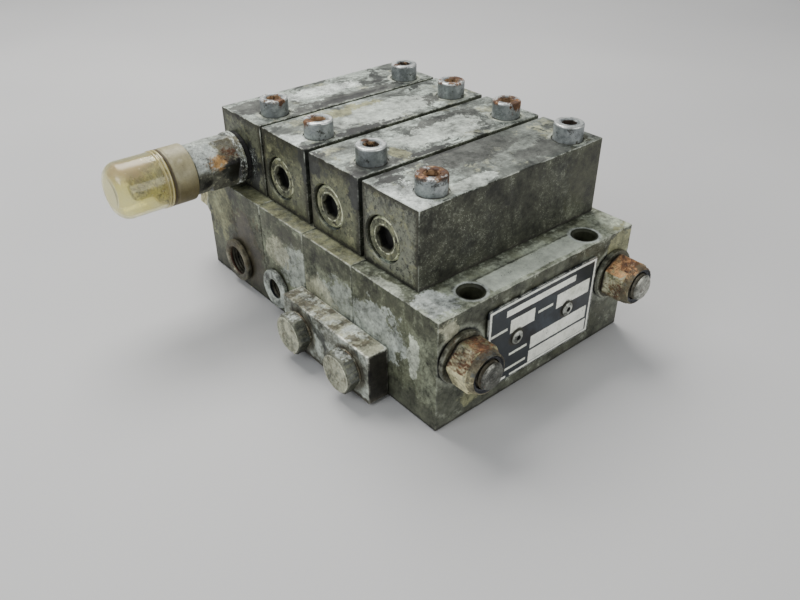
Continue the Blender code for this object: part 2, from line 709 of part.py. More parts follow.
def cartridge_inside(y):
    """Poppet, spring, spring seat, adjusting screw and lock nut, from right to left."""
    guide, tip = POPPET_RADII
    poppet = turn([(0, 0), (guide, 0), (guide, POPPET_SHOULDER - POPPET_LEFT),
                   (tip, POPPET_RIGHT - POPPET_LEFT), (0, POPPET_RIGHT - POPPET_LEFT)], HOLE_SIDES)
    place("relief_poppet", poppet, "bright_steel", (POPPET_LEFT, y, BORE_Z), TO_RIGHT)
    seat_left, seat_right, seat_radius = SPRING_SEAT
    seat = rod_shape(seat_radius, seat_right - seat_left, HOLE_SIDES)
    place("spring_seat", seat, "bright_steel", (seat_left, y, BORE_Z), TO_RIGHT)
    spring_left = seat_right + GAP
    coil = coil_shape(*RELIEF_SPRING, POPPET_LEFT - GAP - spring_left)
    place("relief_spring", coil, "spring_steel", (spring_left, y, BORE_Z), TO_RIGHT)
    edge = ADJUSTER_CHAMFER
    pin = seat_left - GAP - ADJUSTER_LEFT
    body = ADJUSTER_RIGHT - ADJUSTER_LEFT
    outline = [(0, 0), (ADJUSTER_RADIUS - edge, 0), (ADJUSTER_RADIUS, edge), (ADJUSTER_RADIUS, body),
               (ADJUSTER_PIN_RADIUS, body), (ADJUSTER_PIN_RADIUS, pin), (0, pin)]
    at = (ADJUSTER_LEFT, y, BORE_Z)
    screw = place("adjusting_screw", turn(outline, HOLE_SIDES), "rusty_steel", at, TO_RIGHT)
    width, depth = ADJUSTER_SLOT
    reach = ADJUSTER_RADIUS + OVERRUN
    slot, centre = box((ADJUSTER_LEFT - OVERRUN, y - reach, BORE_Z - width / 2),
                       (ADJUSTER_LEFT + depth, y + reach, BORE_Z + width / 2))
    combine(screw, as_tool(place("cut_slot", slot, None, centre)))
    nut_left, nut_right, across = LOCK_NUT
    height = nut_right - nut_left
    nut = place("lock_nut", hexagon_shape(across, height), "plug_steel", (nut_left, y, BORE_Z), TO_RIGHT)
    outside = (nut_left - OVERRUN, y, BORE_Z)
    radius = ADJUSTER_RADIUS + HOLE_CLEARANCE
    combine(nut, drill("cut_lock_nut", outside, TO_RIGHT, (radius, height + 2 * OVERRUN), sides=ROUND))


def rounded_end(radius, rounding, end, steps):
    """(radius, height) points of a rounded outer edge, from the side round to the flat end."""
    points = []
    for step in range(steps + 1):
        angle = math.radians(90) * step / steps
        along = end - rounding + rounding * math.sin(angle)
        points.append((radius - rounding + rounding * math.cos(angle), along))
    return points


def cartridge_cover(y):
    """The collar on the cartridge's spigot and the clear cap that pulls off it."""
    foot = NECK_LEFT - GAP
    collar = turn([
        (COLLAR_LIP_RADIUS, foot - COLLAR_LIP),
        (COLLAR_LIP_RADIUS, foot),
        (COLLAR_RADIUS, foot),
        (COLLAR_RADIUS, COLLAR_LEFT),
        (COLLAR_BORE_RADIUS, COLLAR_LEFT),
        (COLLAR_BORE_RADIUS, foot - COLLAR_LIP),
    ])
    at = (0, y, BORE_Z)
    place("cap_collar", collar, "collar_plastic", at, TO_RIGHT)
    mouth = -(COLLAR_LEFT - GAP)
    end = -CAP_LEFT
    outer = rounded_end(CAP_RADIUS, CAP_ROUNDING, end, CAP_ARC_STEPS)
    inner = rounded_end(CAP_RADIUS - CAP_WALL, CAP_ROUNDING - CAP_WALL, end - CAP_WALL, CAP_ARC_STEPS)
    outline = [(0, end - CAP_WALL)] + inner[::-1]
    outline += [(CAP_RADIUS - CAP_WALL, mouth), (CAP_RIM_RADIUS, mouth), (CAP_RIM_RADIUS, mouth + CAP_RIM)]
    outline += [(CAP_RADIUS, mouth + CAP_RIM)] + outer + [(0, end)]
    cap = turn(outline)
    place("clear_cap", cap, "clear_plastic", at, TO_LEFT)


def rivet_places():
    middle = PLATE_CENTRE[0]
    return (("left", middle - RIVET_SPACING / 2), ("right", middle + RIVET_SPACING / 2))


def rivet_cutters():
    """Blind holes in the front section for the nameplate's rivets."""
    hole = (RIVET_HOLE_RADIUS, 2 * OVERRUN + RIVET_LENGTH)
    return [
        drill(f"cut_rivet_{side}", (x, -2 * OVERRUN, RIVET_Z), TO_REAR, hole, sides=RISER_SIDES)
        for side, x in rivet_places()
    ]


def nameplate():
    x, z = PLATE_CENTRE
    width, height = PLATE_SIZE
    low = (x - width / 2, -GAP - PLATE_THICKNESS, z - height / 2)
    high = (x + width / 2, -GAP, z + height / 2)
    shape, centre = box(low, high)
    bmesh.ops.bevel(
        shape,
        geom=[e for e in shape.edges if abs(e.verts[0].co.y - e.verts[1].co.y) > PLATE_THICKNESS / 2],
        offset=PLATE_CORNER,
        segments=2,
        affect="EDGES",
    )
    plate = place("nameplate", shape, "plate_print", centre)
    plate_face = -GAP - PLATE_THICKNESS
    for side, rivet_x in rivet_places():
        combine(plate, bpy.data.objects[f"cut_rivet_{side}"])
        rivet(side, rivet_x, plate_face - GAP / 2)


def rivet(side, x, seat_y):
    """A domed blind rivet, standing on the nameplate, with the dimple of its mandrel."""
    dimple_radius, dimple_depth = RIVET_DIMPLE
    outline = [
        (0, -RIVET_LENGTH),
        (RIVET_RADIUS, -RIVET_LENGTH),
        (RIVET_RADIUS, 0),
        (RIVET_HEAD_RADIUS, 0),
        (RIVET_HEAD_RADIUS, RIVET_RIM_HEIGHT),
        (RIVET_CROWN_RADIUS, RIVET_HEAD_HEIGHT),
        (dimple_radius, RIVET_HEAD_HEIGHT),
        (dimple_radius, RIVET_HEAD_HEIGHT - dimple_depth),
        (0, RIVET_HEAD_HEIGHT - dimple_depth),
    ]
    place(f"plate_rivet_{side}", turn(outline, HOLE_SIDES), "rivet_aluminium", (x, seat_y, RIVET_Z), TO_FRONT)


clear_scene()
FRAME = make_frame()
SHARED = through_base_cutters()
for slice_number in range(1, len(SECTION_DEPTHS) + 1):
    base_section(slice_number, SHARED)
    valve_block(slice_number)
    for screw_side, screw_x in zip(("left", "right"), SCREW_XS):
        cap_screw(slice_number, screw_side, screw_x)
for slice_number in (2, 3, 4):
    section_seal(slice_number)
for slice_number in (1, 2, 3):
    bore_plug(slice_number)
    spool(slice_number)
for rod_side, rod_x in rod_places():
    tie_rod(rod_side, rod_x)
    for rod_end in ("front", "rear"):
        tie_rod_end(rod_end, rod_side, rod_x)
link_bar()
for port_number in (1, 2):
    hollow_bolt(port_number)
for port_number in PORT_SEATS:
    port_seat(port_number)
CARTRIDGE_Y = bore_y(4)
cartridge_body(CARTRIDGE_Y)
cartridge_inside(CARTRIDGE_Y)
cartridge_cover(CARTRIDGE_Y)
nameplate()
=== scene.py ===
"""Looks for the hydraulic valve bank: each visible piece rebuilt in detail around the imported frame.

Lengths are in metres unless a comment says millimetres. Every mesh is made in the row frame,
with its object at the origin, so a pattern's own coordinates are the frame's, and places come
from the CAD nodes' boxes.
"""

import functools
import json
import math

import bmesh
import bpy
from mathutils import Matrix, Vector, noise


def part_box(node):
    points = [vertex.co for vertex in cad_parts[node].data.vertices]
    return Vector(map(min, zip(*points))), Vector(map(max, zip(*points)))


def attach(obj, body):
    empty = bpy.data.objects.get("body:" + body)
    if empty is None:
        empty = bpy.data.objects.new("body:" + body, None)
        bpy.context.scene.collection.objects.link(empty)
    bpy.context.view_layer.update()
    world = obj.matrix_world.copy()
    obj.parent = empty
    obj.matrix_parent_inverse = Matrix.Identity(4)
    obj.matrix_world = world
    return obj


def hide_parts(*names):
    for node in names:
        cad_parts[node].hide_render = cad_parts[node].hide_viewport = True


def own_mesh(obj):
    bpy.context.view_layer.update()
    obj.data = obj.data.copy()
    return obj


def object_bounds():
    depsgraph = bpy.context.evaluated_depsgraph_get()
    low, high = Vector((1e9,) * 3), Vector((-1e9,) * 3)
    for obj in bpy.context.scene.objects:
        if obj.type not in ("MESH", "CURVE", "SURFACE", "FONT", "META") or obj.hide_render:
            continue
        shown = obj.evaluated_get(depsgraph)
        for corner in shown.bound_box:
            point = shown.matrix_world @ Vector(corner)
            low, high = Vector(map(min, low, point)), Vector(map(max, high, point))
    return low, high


MM = 0.001
# Sides of a turned shape, sections in one turn of a coil, and sides of its wire.
ROUND = 72
COIL_STEPS = 28
WIRE_SIDES = 10
SMOOTH_ANGLE = math.radians(32)
SIDES = ("left", "right")

LEFT = Vector((-1, 0, 0))
RIGHT = Vector((1, 0, 0))
FRONT = Vector((0, -1, 0))
REAR = Vector((0, 1, 0))
UP = Vector((0, 0, 1))

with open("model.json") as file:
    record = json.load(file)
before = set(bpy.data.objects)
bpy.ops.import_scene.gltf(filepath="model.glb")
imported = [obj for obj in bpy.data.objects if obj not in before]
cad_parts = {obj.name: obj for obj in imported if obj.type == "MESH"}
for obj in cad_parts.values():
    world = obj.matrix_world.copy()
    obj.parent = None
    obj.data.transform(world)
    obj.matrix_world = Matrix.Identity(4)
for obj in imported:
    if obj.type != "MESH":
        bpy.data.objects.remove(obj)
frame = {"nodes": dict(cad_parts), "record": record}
CAD_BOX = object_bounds()
PORT_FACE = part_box("base_section_1")[0].x


# ---------------------------------------------------------------- stage

CAMERA_PLACE = Vector((-0.2127, -0.1704, 0.2142))
CAMERA_TARGET = Vector((-0.0478, 0.0256, 0.0418))
CAMERA_ROLL = math.radians(-0.21)
CAMERA_LENS_MM = 34.68
# Name, place, target, size, watts and colour of each soft lamp.
LAMPS = (
    ("key_lamp", (0.10, 0.60, 0.85), (0, 0.05, 0.04), (0.7, 0.5), 10.5, (1.0, 0.98, 0.95)),
    ("fill_lamp", (-1.0, 0.1, 0.75), (0, 0.05, 0.03), (0.6, 0.5), 5.0, (0.95, 0.97, 1.0)),
    ("front_lamp", (0.25, -0.95, 0.38), (0, 0.0, 0.03), (0.8, 0.6), 4.0, (1.0, 0.99, 0.96)),
)


def look_at(item, target, roll=0.0):
    forward = (target - item.location).normalized()
    turned = forward.to_track_quat("-Z", "Y").to_matrix() @ Matrix.Rotation(roll, 3, "Z")
    item.rotation_euler = turned.to_euler()


def make_camera():
    camera = bpy.data.objects.new("camera", bpy.data.cameras.new("camera"))
    bpy.context.scene.collection.objects.link(camera)
    camera.data.sensor_width = 36
    camera.data.lens = CAMERA_LENS_MM
    camera.data.clip_start = 0.01
    camera.location = CAMERA_PLACE
    look_at(camera, CAMERA_TARGET, CAMERA_ROLL)
    bpy.context.scene.camera = camera


def make_light(name, at, target, size, watts, colour):
    data = bpy.data.lights.new(name, "AREA")
    data.shape = "RECTANGLE"
    data.size, data.size_y = size
    data.energy = watts
    data.color = colour
    lamp = bpy.data.objects.new(name, data)
    lamp.location = at
    look_at(lamp, Vector(target))
    bpy.context.scene.collection.objects.link(lamp)


def make_stage():
    """A pale floor, three soft lamps and a dim pale world."""
    for lamp in LAMPS:
        make_light(*lamp)
    world = bpy.data.worlds.new("studio")
    world.use_nodes = True
    sky = world.node_tree.nodes["Background"].inputs
    sky["Color"].default_value = (0.80, 0.82, 0.85, 1)
    sky["Strength"].default_value = 0.36
    bpy.context.scene.world = world
    shape = bmesh.new()
    bmesh.ops.create_grid(shape, x_segments=1, y_segments=1, size=3.0)
    mesh = bpy.data.meshes.new("floor")
    shape.to_mesh(mesh)
    shape.free()
    floor = bpy.data.objects.new("floor", mesh)
    floor.location = (0, 0, CAD_BOX[0][2] - 0.2 * MM)
    bpy.context.scene.collection.objects.link(floor)
    look = Finish("floor_paper", (0.62, 0.62, 0.62), 0.55, 0.0)
    look.coat(look.mottle(3.0, 0.35, 0.7, 2, 0.6), (0.66, 0.66, 0.655), 0.6, 0.0)
    look.raise_by(look.noise(900, 3), 0.02 * MM)
    floor.data.materials.append(look.done())


# ---------------------------------------------------------------- finishes

# Colour (linear RGB), roughness and metallic value of each kind of stain.
STAINS = {
    "soot": ((0.040, 0.042, 0.042), 0.42, 0.30),
    "shade": ((0.105, 0.110, 0.108), 0.42, 0.45),
    "oil": ((0.038, 0.031, 0.020), 0.30, 0.20),
    "drip": ((0.048, 0.050, 0.032), 0.40, 0.25),
    "olive": ((0.140, 0.142, 0.078), 0.50, 0.30),
    "straw": ((0.290, 0.290, 0.180), 0.55, 0.20),
    "lime": ((0.500, 0.530, 0.480), 0.70, 0.10),
    "frost": ((0.450, 0.485, 0.480), 0.65, 0.15),
    "chalk": ((0.640, 0.680, 0.700), 0.80, 0.00),
    "cream": ((0.470, 0.465, 0.370), 0.75, 0.05),
    "umber": ((0.105, 0.088, 0.058), 0.60, 0.15),
    "black": ((0.010, 0.009, 0.008), 0.35, 0.00),
}
# What oil and age leave of red, green and blue.
AGED = (0.99, 1.0, 0.90)
BROWN_RUST = (0.110, 0.052, 0.028)
ORANGE_RUST = (0.360, 0.170, 0.075)
MAROON_RUST = (0.060, 0.026, 0.022)
TAN_RUST = (0.460, 0.320, 0.210)


class Finish:
    """A Principled material built up in coats, each laid over the last through a mask.

    `calm` is a mask of the places where weather() shows less.
    """

    def __init__(self, name, colour, roughness, metallic, seed=0.0):
        self.material = bpy.data.materials.new(name)
        self.material.use_nodes = True
        self.tree = self.material.node_tree
        self.shader = self.tree.nodes["Principled BSDF"]
        coordinates = self.node("ShaderNodeTexCoord")
        self.place = coordinates.outputs["Object"]
        self.facing = coordinates.outputs["Normal"]
        self.seeded = self.vector("ADD", self.place, (0.731 * seed, 0.417 * seed, 0.283 * seed))
        self.colour, self.roughness, self.metallic = colour, roughness, metallic
        self.height = None
        self.calm = None

    def node(self, kind, inputs=None, **settings):
        """A new node, with its inputs fed by name or by number."""
        made = self.tree.nodes.new(kind)
        for name, value in settings.items():
            setattr(made, name, value)
        for name, value in (inputs or {}).items():
            self.feed(made.inputs[name], value)
        return made

    def feed(self, socket, value):
        """Links a socket, or sets its constant."""
        if isinstance(value, bpy.types.NodeSocket):
            self.tree.links.new(value, socket)
        elif socket.type == "RGBA":
            socket.default_value = (*value, 1.0)
        else:
            socket.default_value = value

    def calc(self, operation, *values):
        return self.node("ShaderNodeMath", dict(enumerate(values)), operation=operation).outputs[0]

    def vector(self, operation, *values):
        made = self.node("ShaderNodeVectorMath", dict(enumerate(values)), operation=operation)
        return made.outputs["Value" if operation in ("LENGTH", "DOT_PRODUCT") else "Vector"]

    def split(self, vector):
        return self.node("ShaderNodeSeparateXYZ", {0: vector}).outputs

    def noise(self, scale, detail=4, roughness=0.6, stretch=None, distortion=0.0):
        """Noise from 0 to 1, with about `scale` blotches to a metre."""
        inputs = {
            "Vector": self.vector("MULTIPLY", self.seeded, stretch) if stretch else self.seeded,
            "Scale": scale,
            "Detail": detail,
            "Roughness": roughness,
            "Distortion": distortion,
        }
        return self.node("ShaderNodeTexNoise", inputs).outputs[0]

    def pits(self, scale, size):
        """1 inside scattered round spots, `scale` to a metre and `size` of their spacing wide."""
        made = self.node("ShaderNodeTexVoronoi", {"Vector": self.seeded, "Scale": scale})
        return self.band(made.outputs["Distance"], size, size * 0.5)

    def band(self, value, low, high):
        """0 at low to 1 at high, smoothly. Low may be above high."""
        rising = low < high
        inputs = {
            "Value": value,
            "From Min": min(low, high),
            "From Max": max(low, high),
            "To Min": 0.0 if rising else 1.0,
            "To Max": 1.0 if rising else 0.0,
        }
        return self.node("ShaderNodeMapRange", inputs, interpolation_type="SMOOTHSTEP").outputs[0]

    def mottle(self, scale, low, high, detail=9, roughness=0.76, **noise):
        """1 in the blotches of a noise, faded between two of its values."""
        return self.band(self.noise(scale, detail, roughness, **noise), low, high)

    def edge(self, value, low, high, reach=0, scale=260):
        """A band made ragged by up to `reach`."""
        return self.band(self.ragged(value, reach, scale) if reach else value, low, high)

    def fade(self, axis, origin, low, high, reach=0, scale=260):
        """An edge along an axis, in millimetres from an origin."""
        return self.edge(self.along(axis), origin + low * MM, origin + high * MM, reach * MM, scale)

    def ring(self, centre, axis, low, high, reach=0, scale=260):
        """An edge at a distance from an axis, in millimetres."""
        return self.edge(self.from_axis(centre, axis), low * MM, high * MM, reach * MM, scale)

    def both(self, *masks):
        return functools.reduce(functools.partial(self.calc, "MULTIPLY"), masks)

    def either(self, *masks):
        return functools.reduce(functools.partial(self.calc, "MAXIMUM"), masks)

    def ragged(self, distance, reach, scale=260):
        """A distance made uneven by noise, up to `reach` either way."""
        swing = self.calc("MULTIPLY_ADD", self.noise(scale, 9, 0.74), 7 * reach, -3.5 * reach)
        return self.calc("ADD", distance, swing)

    def spot(self, centre, radius, stretch=(1, 1, 1), reach=None, scale=260, soft=MM):
        """1 within a ragged ellipsoid about a point of the row frame."""
        offset = self.vector("SUBTRACT", self.place, tuple(centre))
        far = self.vector("LENGTH", self.vector("MULTIPLY", offset, stretch))
        reach = 0.45 * radius if reach is None else reach
        return self.edge(far, radius + soft, radius - soft, reach, scale)

    def slab(self, low, high, reach=MM, soft=0.4 * MM, scale=260):
        """1 within a ragged box of the row frame."""
        x, y, z = self.depths(low, high)
        inside = self.calc("MINIMUM", x, self.calc("MINIMUM", y, z))
        return self.edge(inside, -soft, soft, reach, scale)

    def depths(self, low, high):
        """Depth inside a box along X, Y and Z."""
        above = self.vector("SUBTRACT", self.place, tuple(low))
        below = self.vector("SUBTRACT", tuple(high), self.place)
        return self.split(self.vector("MINIMUM", above, below))

    def turned_to(self, direction, least=0.5, soft=0.1):
        """1 on surfaces that face a direction: `least` is the cosine where it is half way."""
        cosine = self.vector("DOT_PRODUCT", self.facing, tuple(direction))
        return self.band(cosine, least - soft, least + soft)

    def along(self, axis):
        return self.split(self.place)["XYZ".index(axis)]

    def from_axis(self, point, axis):
        """Distance from the line through a point along X, Y or Z."""
        flat = tuple(0.0 if name == axis else 1.0 for name in "XYZ")
        offset = self.vector("SUBTRACT", self.place, tuple(point))
        return self.vector("LENGTH", self.vector("MULTIPLY", offset, flat))

    def box_edges(self, low, high, width):
        """1 along a box's edges, fading out raggedly over `width`."""
        x, y, z = self.depths(low, high)
        lesser = self.calc("MINIMUM", x, y)
        greater = self.calc("MAXIMUM", x, y)
        second = self.calc("MAXIMUM", lesser, self.calc("MINIMUM", greater, z))
        return self.edge(second, width, width * 0.2, width * 0.3, 700)

    def waves(self, distance, pitch):
        """A sine along a distance, for machining marks."""
        return self.calc("SINE", self.calc("MULTIPLY", distance, math.tau / pitch))

    def mix(self, mask, below, above):
        if isinstance(below, (int, float)) or getattr(below, "type", None) == "VALUE":
            return self.node("ShaderNodeMix", {0: mask, 2: below, 3: above}, data_type="FLOAT").outputs[0]
        return self.node("ShaderNodeMix", {0: mask, 6: below, 7: above}, data_type="RGBA").outputs[2]

    def coat(self, masks, colour, roughness, metallic):
        """Lays a colour, a roughness and a metallic value over what is there, where the masks meet."""
        mask = self.both(*masks) if isinstance(masks, tuple) else masks
        self.colour = self.mix(mask, self.colour, colour)
        if roughness != self.roughness:
            self.roughness = self.mix(mask, self.roughness, roughness)
        if metallic != self.metallic:
            self.metallic = self.mix(mask, self.metallic, metallic)

    def stain(self, kind, *masks):
        """A coat of one kind of stain where the masks meet. A number among them thins it."""
        self.coat(masks, *STAINS[kind])

    def rust(self, mask, orange):
        """Brown scale with orange, tan and maroon bloom, standing a little proud."""
        self.coat(mask, BROWN_RUST, 0.75, 0.1)
        bloom = self.mottle(330, 0.62 - 0.2 * orange, 0.74 - 0.2 * orange, 8, 0.75)
        self.coat((mask, bloom), ORANGE_RUST, 0.85, 0.0)
        pale = self.mottle(450, 0.64 - 0.12 * orange, 0.70 - 0.12 * orange, 8, 0.75, distortion=0.4)
        self.coat((mask, pale), TAN_RUST, 0.85, 0.0)
        deep = self.mottle(520, 0.54, 0.62, 7, 0.75, distortion=0.5)
        self.coat((mask, deep), MAROON_RUST, 0.55, 0.1)
        self.raise_by(self.both(mask, self.noise(900, 5, 0.7)), 0.22 * MM)

    def weather(self, contrast, scale=90):
        """Breaks the colour up into lighter and darker grains of every size, and yellows it a little."""
        swing = self.calc("MULTIPLY_ADD", self.noise(scale, 11, 0.84), contrast, 1 - 0.5 * contrast)
        factor = self.calc("MINIMUM", self.calc("MAXIMUM", swing, 0.22), 2.1)
        if self.calm is not None:
            factor = self.mix(self.calm, factor, 1.0)
        grains = self.vector("MULTIPLY", self.colour, factor)
        self.colour = self.vector("MULTIPLY", grains, AGED)

    def raise_by(self, value, metres):
        lifted = self.calc("MULTIPLY", value, metres)
        self.height = lifted if self.height is None else self.calc("ADD", self.height, lifted)

    def done(self):
        bump = self.node("ShaderNodeBump", {"Strength": 1.0, "Distance": 1.0, "Height": self.height})
        inputs = self.shader.inputs
        self.feed(inputs["Base Color"], self.colour)
        self.feed(inputs["Roughness"], self.roughness)
        self.feed(inputs["Metallic"], self.metallic)
        self.feed(inputs["Normal"], bump.outputs[0])
        return self.material


def grained(look, grain=0.03 * MM, dark=0.55, contrast=6.5):
    """The material, with fine grain, uneven tone and scattered dark pits over whatever is there."""
    look.weather(contrast)
    look.raise_by(look.noise(2600, 3, 0.7), grain)
    specks = look.both(look.pits(1100, 0.30), look.mottle(160, dark, dark + 0.06, 5, 0.7))
    look.coat(specks, (0.020, 0.020, 0.017), 0.6, 0.1)
    look.raise_by(specks, -0.06 * MM)
    return look.done()


# ---------------------------------------------------------------- shapes


def spin(outline, sides=ROUND, phase=0.0, groove=None):
    """(radius, height) points turned about +Z. An outline that never reaches the axis has a bore.

    groove(angle, height) is taken off the radius, for a thread.
    """
    shape = bmesh.new()
    rings = []
    for radius, height in outline:
        if radius == 0:
            rings.append([shape.verts.new((0, 0, height))] * sides)
            continue
        ring = []
        for side in range(sides):
            angle = math.tau * side / sides
            reach = radius - (groove(angle, height) if groove else 0)
            x, y = reach * math.cos(phase + angle), reach * math.sin(phase + angle)
            ring.append(shape.verts.new((x, y, height)))
        rings.append(ring)
    pairs = list(zip(rings, rings[1:]))
    if outline[0][0] > 0:
        pairs.append((rings[-1], rings[0]))
    for lower, upper in pairs:
        for side in range(sides):
            after = (side + 1) % sides
            shape.faces.new(dict.fromkeys((lower[side], lower[after], upper[after], upper[side])))
    bmesh.ops.recalc_face_normals(shape, faces=shape.faces)
    return shape


def in_mm(*points):
    return [(radius * MM, height * MM) for radius, height in points]


def rounded(outline, radius, steps=3):
    """The outline with each corner off the axis replaced by a small arc."""
    closed = outline[0][0] > 0
    points = [Vector(p) for p in outline]
    result = []
    for i, here in enumerate(points):
        if not closed and i in (0, len(points) - 1):
            result.append(tuple(here))
            continue
        before, after = points[i - 1], points[(i + 1) % len(points)]
        back, on = before - here, after - here
        reach = min(radius, back.length * 0.45, on.length * 0.45)
        start, end = here + back.normalized() * reach, here + on.normalized() * reach
        for step in range(steps + 1):
            t = step / steps
            result.append(tuple((1 - t) ** 2 * start + 2 * t * (1 - t) * here + t**2 * end))
    return result


def prism(across_flats, height, phase=0.0, soften=0.3 * MM):
    """A hexagonal prism on +Z with softened upright edges."""
    corner = across_flats / math.sqrt(3)
    shape = bmesh.new()
    bmesh.ops.create_cone(shape, cap_ends=True, segments=6, radius1=corner, radius2=corner, depth=height)
    bmesh.ops.translate(shape, vec=(0, 0, height / 2), verts=shape.verts)
    shape.verts.ensure_lookup_table()
    first = math.atan2(shape.verts[0].co.y, shape.verts[0].co.x)
    bmesh.ops.rotate(shape, cent=(0, 0, 0), matrix=Matrix.Rotation(phase - first, 3, "Z"), verts=shape.verts)
    if soften:
        upright = [e for e in shape.edges if abs(e.verts[0].co.z - e.verts[1].co.z) > height / 2]
        bmesh.ops.bevel(shape, geom=upright, offset=soften, segments=3, profile=0.5, affect="EDGES")
    return shape


def cuboid(size, centre):
    shape = bmesh.new()
    bmesh.ops.create_cube(shape, size=1.0)
    bmesh.ops.scale(shape, vec=size, verts=shape.verts)
    bmesh.ops.translate(shape, vec=centre, verts=shape.verts)
    return shape


def cut_up(shape, low, high, cell, axes=(0, 1, 2)):
    """Cuts a shape along a grid, so that its faces can be bent."""
    for axis in axes:
        count = max(1, round((high[axis] - low[axis]) / cell))
        for i in range(1, count):
            normal = Vector([float(axis == a) for a in range(3)])
            bmesh.ops.bisect_plane(
                shape,
                geom=shape.verts[:] + shape.edges[:] + shape.faces[:],
                plane_co=normal * (low[axis] + (high[axis] - low[axis]) * i / count),
                plane_no=normal,
            )


def block_shape(low, high, cell, edge, wear, seed):
    """A worn box: a grid of cells, its edges rounded unevenly and its faces very slightly wavy."""
    shape = cuboid(high - low, (low + high) / 2)
    cut_up(shape, low, high, cell)
    sharp = [e for e in shape.edges if e.calc_face_angle(0) > 1.0]
    bmesh.ops.bevel(shape, geom=sharp, offset=edge, segments=3, profile=0.5, affect="EDGES")
    for vert in shape.verts:
        inner = [min(vert.co[a] - low[a], high[a] - vert.co[a]) for a in range(3)]
        near_edge = max(0.0, 1 - sorted(inner)[1] / (3 * edge))
        chip = max(0.0, noise.noise(vert.co * 260 + Vector((seed, 0, 0))) - 0.15)
        amount = wear * near_edge * (0.25 + 2.2 * chip) + 0.02 * MM * (noise.noise(vert.co * 90) + 1)
        inward = Vector((0, 0, 0))
        for a in range(3):
            if inner[a] < 2 * edge:
                inward[a] = 1.0 if vert.co[a] < (low[a] + high[a]) / 2 else -1.0
        if inward.length:
            vert.co += inward.normalized() * amount
    return shape


def coil(mean_radius, wire_radius, turns, length, half=False):
    """A spring from its origin up +Z. A half stops at mid-wire, where the other half takes over."""
    shape = bmesh.new()
    steps = round(turns * COIL_STEPS)
    rise = length - (1 if half else 2) * wire_radius
    sections = []
    for step in range(steps + 1):
        t = step / steps
        angle = math.tau * turns * t
        height = wire_radius + rise * t
        section = []
        for side in range(WIRE_SIDES):
            around = math.tau * side / WIRE_SIDES
            radius = mean_radius + wire_radius * math.cos(around)
            level = height + wire_radius * math.sin(around)
            section.append(shape.verts.new((radius * math.cos(angle), radius * math.sin(angle), level)))
        sections.append(section)
    for here, following in zip(sections, sections[1:]):
        for side in range(WIRE_SIDES):
            after = (side + 1) % WIRE_SIDES
            shape.faces.new((here[side], here[after], following[after], following[side]))
    shape.faces.new(sections[0])
    shape.faces.new(sections[-1])
    bmesh.ops.recalc_face_normals(shape, faces=shape.faces)
    return shape


def axis_matrix(at, direction):
    """Places a shape made on +Z at a point, with +Z along a direction and +X upward if it can be."""
    upward = RIGHT if abs(direction.z) > 0.5 else UP
    turned = Matrix((upward, direction.cross(upward), direction)).transposed()
    return Matrix.Translation(at) @ turned.to_4x4()


def solid(name, shape, matrix=None):
    """A linked mesh object from a bmesh, with the matrix applied to its points."""
    if matrix is not None:
        bmesh.ops.transform(shape, matrix=matrix, verts=shape.verts)
    mesh = bpy.data.meshes.new(name)
    shape.to_mesh(mesh)
    shape.free()
    made = bpy.data.objects.new(name, mesh)
    bpy.context.scene.collection.objects.link(made)
    return made


def piece(node, shape, matrix=None):
    """The detailed piece that stands for a CAD node."""
    return solid(f"{node}_detailed", shape, matrix)


def revolve(node, outline, at, direction, sides=ROUND):
    return piece(node, spin(outline, sides), axis_matrix(at, direction))


def bake(target):
    """Applies a piece's modifiers."""
    graph = bpy.context.evaluated_depsgraph_get()
    graph.update()
    result = bpy.data.meshes.new_from_object(target.evaluated_get(graph))
    target.modifiers.clear()
    target.data = result


def combine(target, *tools):
    """Applies (operation, tool) Booleans to a piece in turn, then removes the tools."""
    for operation, tool in tools:
        modifier = target.modifiers.new(operation, "BOOLEAN")
        modifier.operation = operation
        modifier.solver = "EXACT"
        modifier.object = tool
    bake(target)
    for _, tool in tools:
        bpy.data.objects.remove(tool)


def cut(target, *tools):
    combine(target, *(("DIFFERENCE", tool) for tool in tools))


def corrode(target, voxel, depth, scale, seed):
    """Remeshes a piece finely and eats its surface away unevenly, by up to `depth`."""
    modifier = target.modifiers.new("Remesh", "REMESH")
    modifier.mode = "VOXEL"
    modifier.voxel_size = voxel
    bake(target)
    offset = Vector((seed, seed * 0.7, seed * 0.3))
    moved = []
    for vert in target.data.vertices:
        broad = noise.noise(vert.co * scale + offset)
        fine = noise.noise(vert.co * scale * 3.3 + offset)
        moved.append(vert.co - vert.normal * depth * (0.5 + 0.5 * broad + 0.3 * fine))
    for vert, place in zip(target.data.vertices, moved):
        vert.co = place


def hole(at, direction, *steps, sides=ROUND):
    """A cutter for a stepped or flared round hole: (radius, depth) points from its start, in millimetres."""
    outline = in_mm((0, steps[0][1]), *steps, (0, steps[-1][1]))
    return solid("cutter", spin(outline, sides, math.pi / sides), axis_matrix(at, direction))


def cut_socket(target, floor, direction, across_flats, turn, *mouth):
    """A hexagonal socket from its floor outward, with a flared mouth as in hole()."""
    hexagon = solid("cutter", prism(across_flats, 6 * MM, turn, 0), axis_matrix(floor, direction))
    cut(target, hexagon, hole(floor + direction * 5.2 * MM, -direction, *mouth))


def settle(made, material, slot, *nodes, body="valve"):
    """Gives a finished piece its shading and material, puts it in its body and hides the CAD nodes it stands
    for.

    Normals weighted by area keep flat faces flat up to their rounded edges. The slot is not used.
    """
    made.data.materials.clear()
    made.data.materials.append(material)
    made.data.shade_smooth()
    made.data.set_sharp_from_angle(angle=SMOOTH_ANGLE)
    even = made.modifiers.new("WeightedNormal", "WEIGHTED_NORMAL")
    even.keep_sharp = True
    bake(made)
    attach(made, body)
    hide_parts(*nodes)


def extent(node):
    """The low corner, high corner and middle of a CAD node's box."""
    low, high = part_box(node)
    return low, high, (low + high) / 2


def middle(node):
    return extent(node)[2]


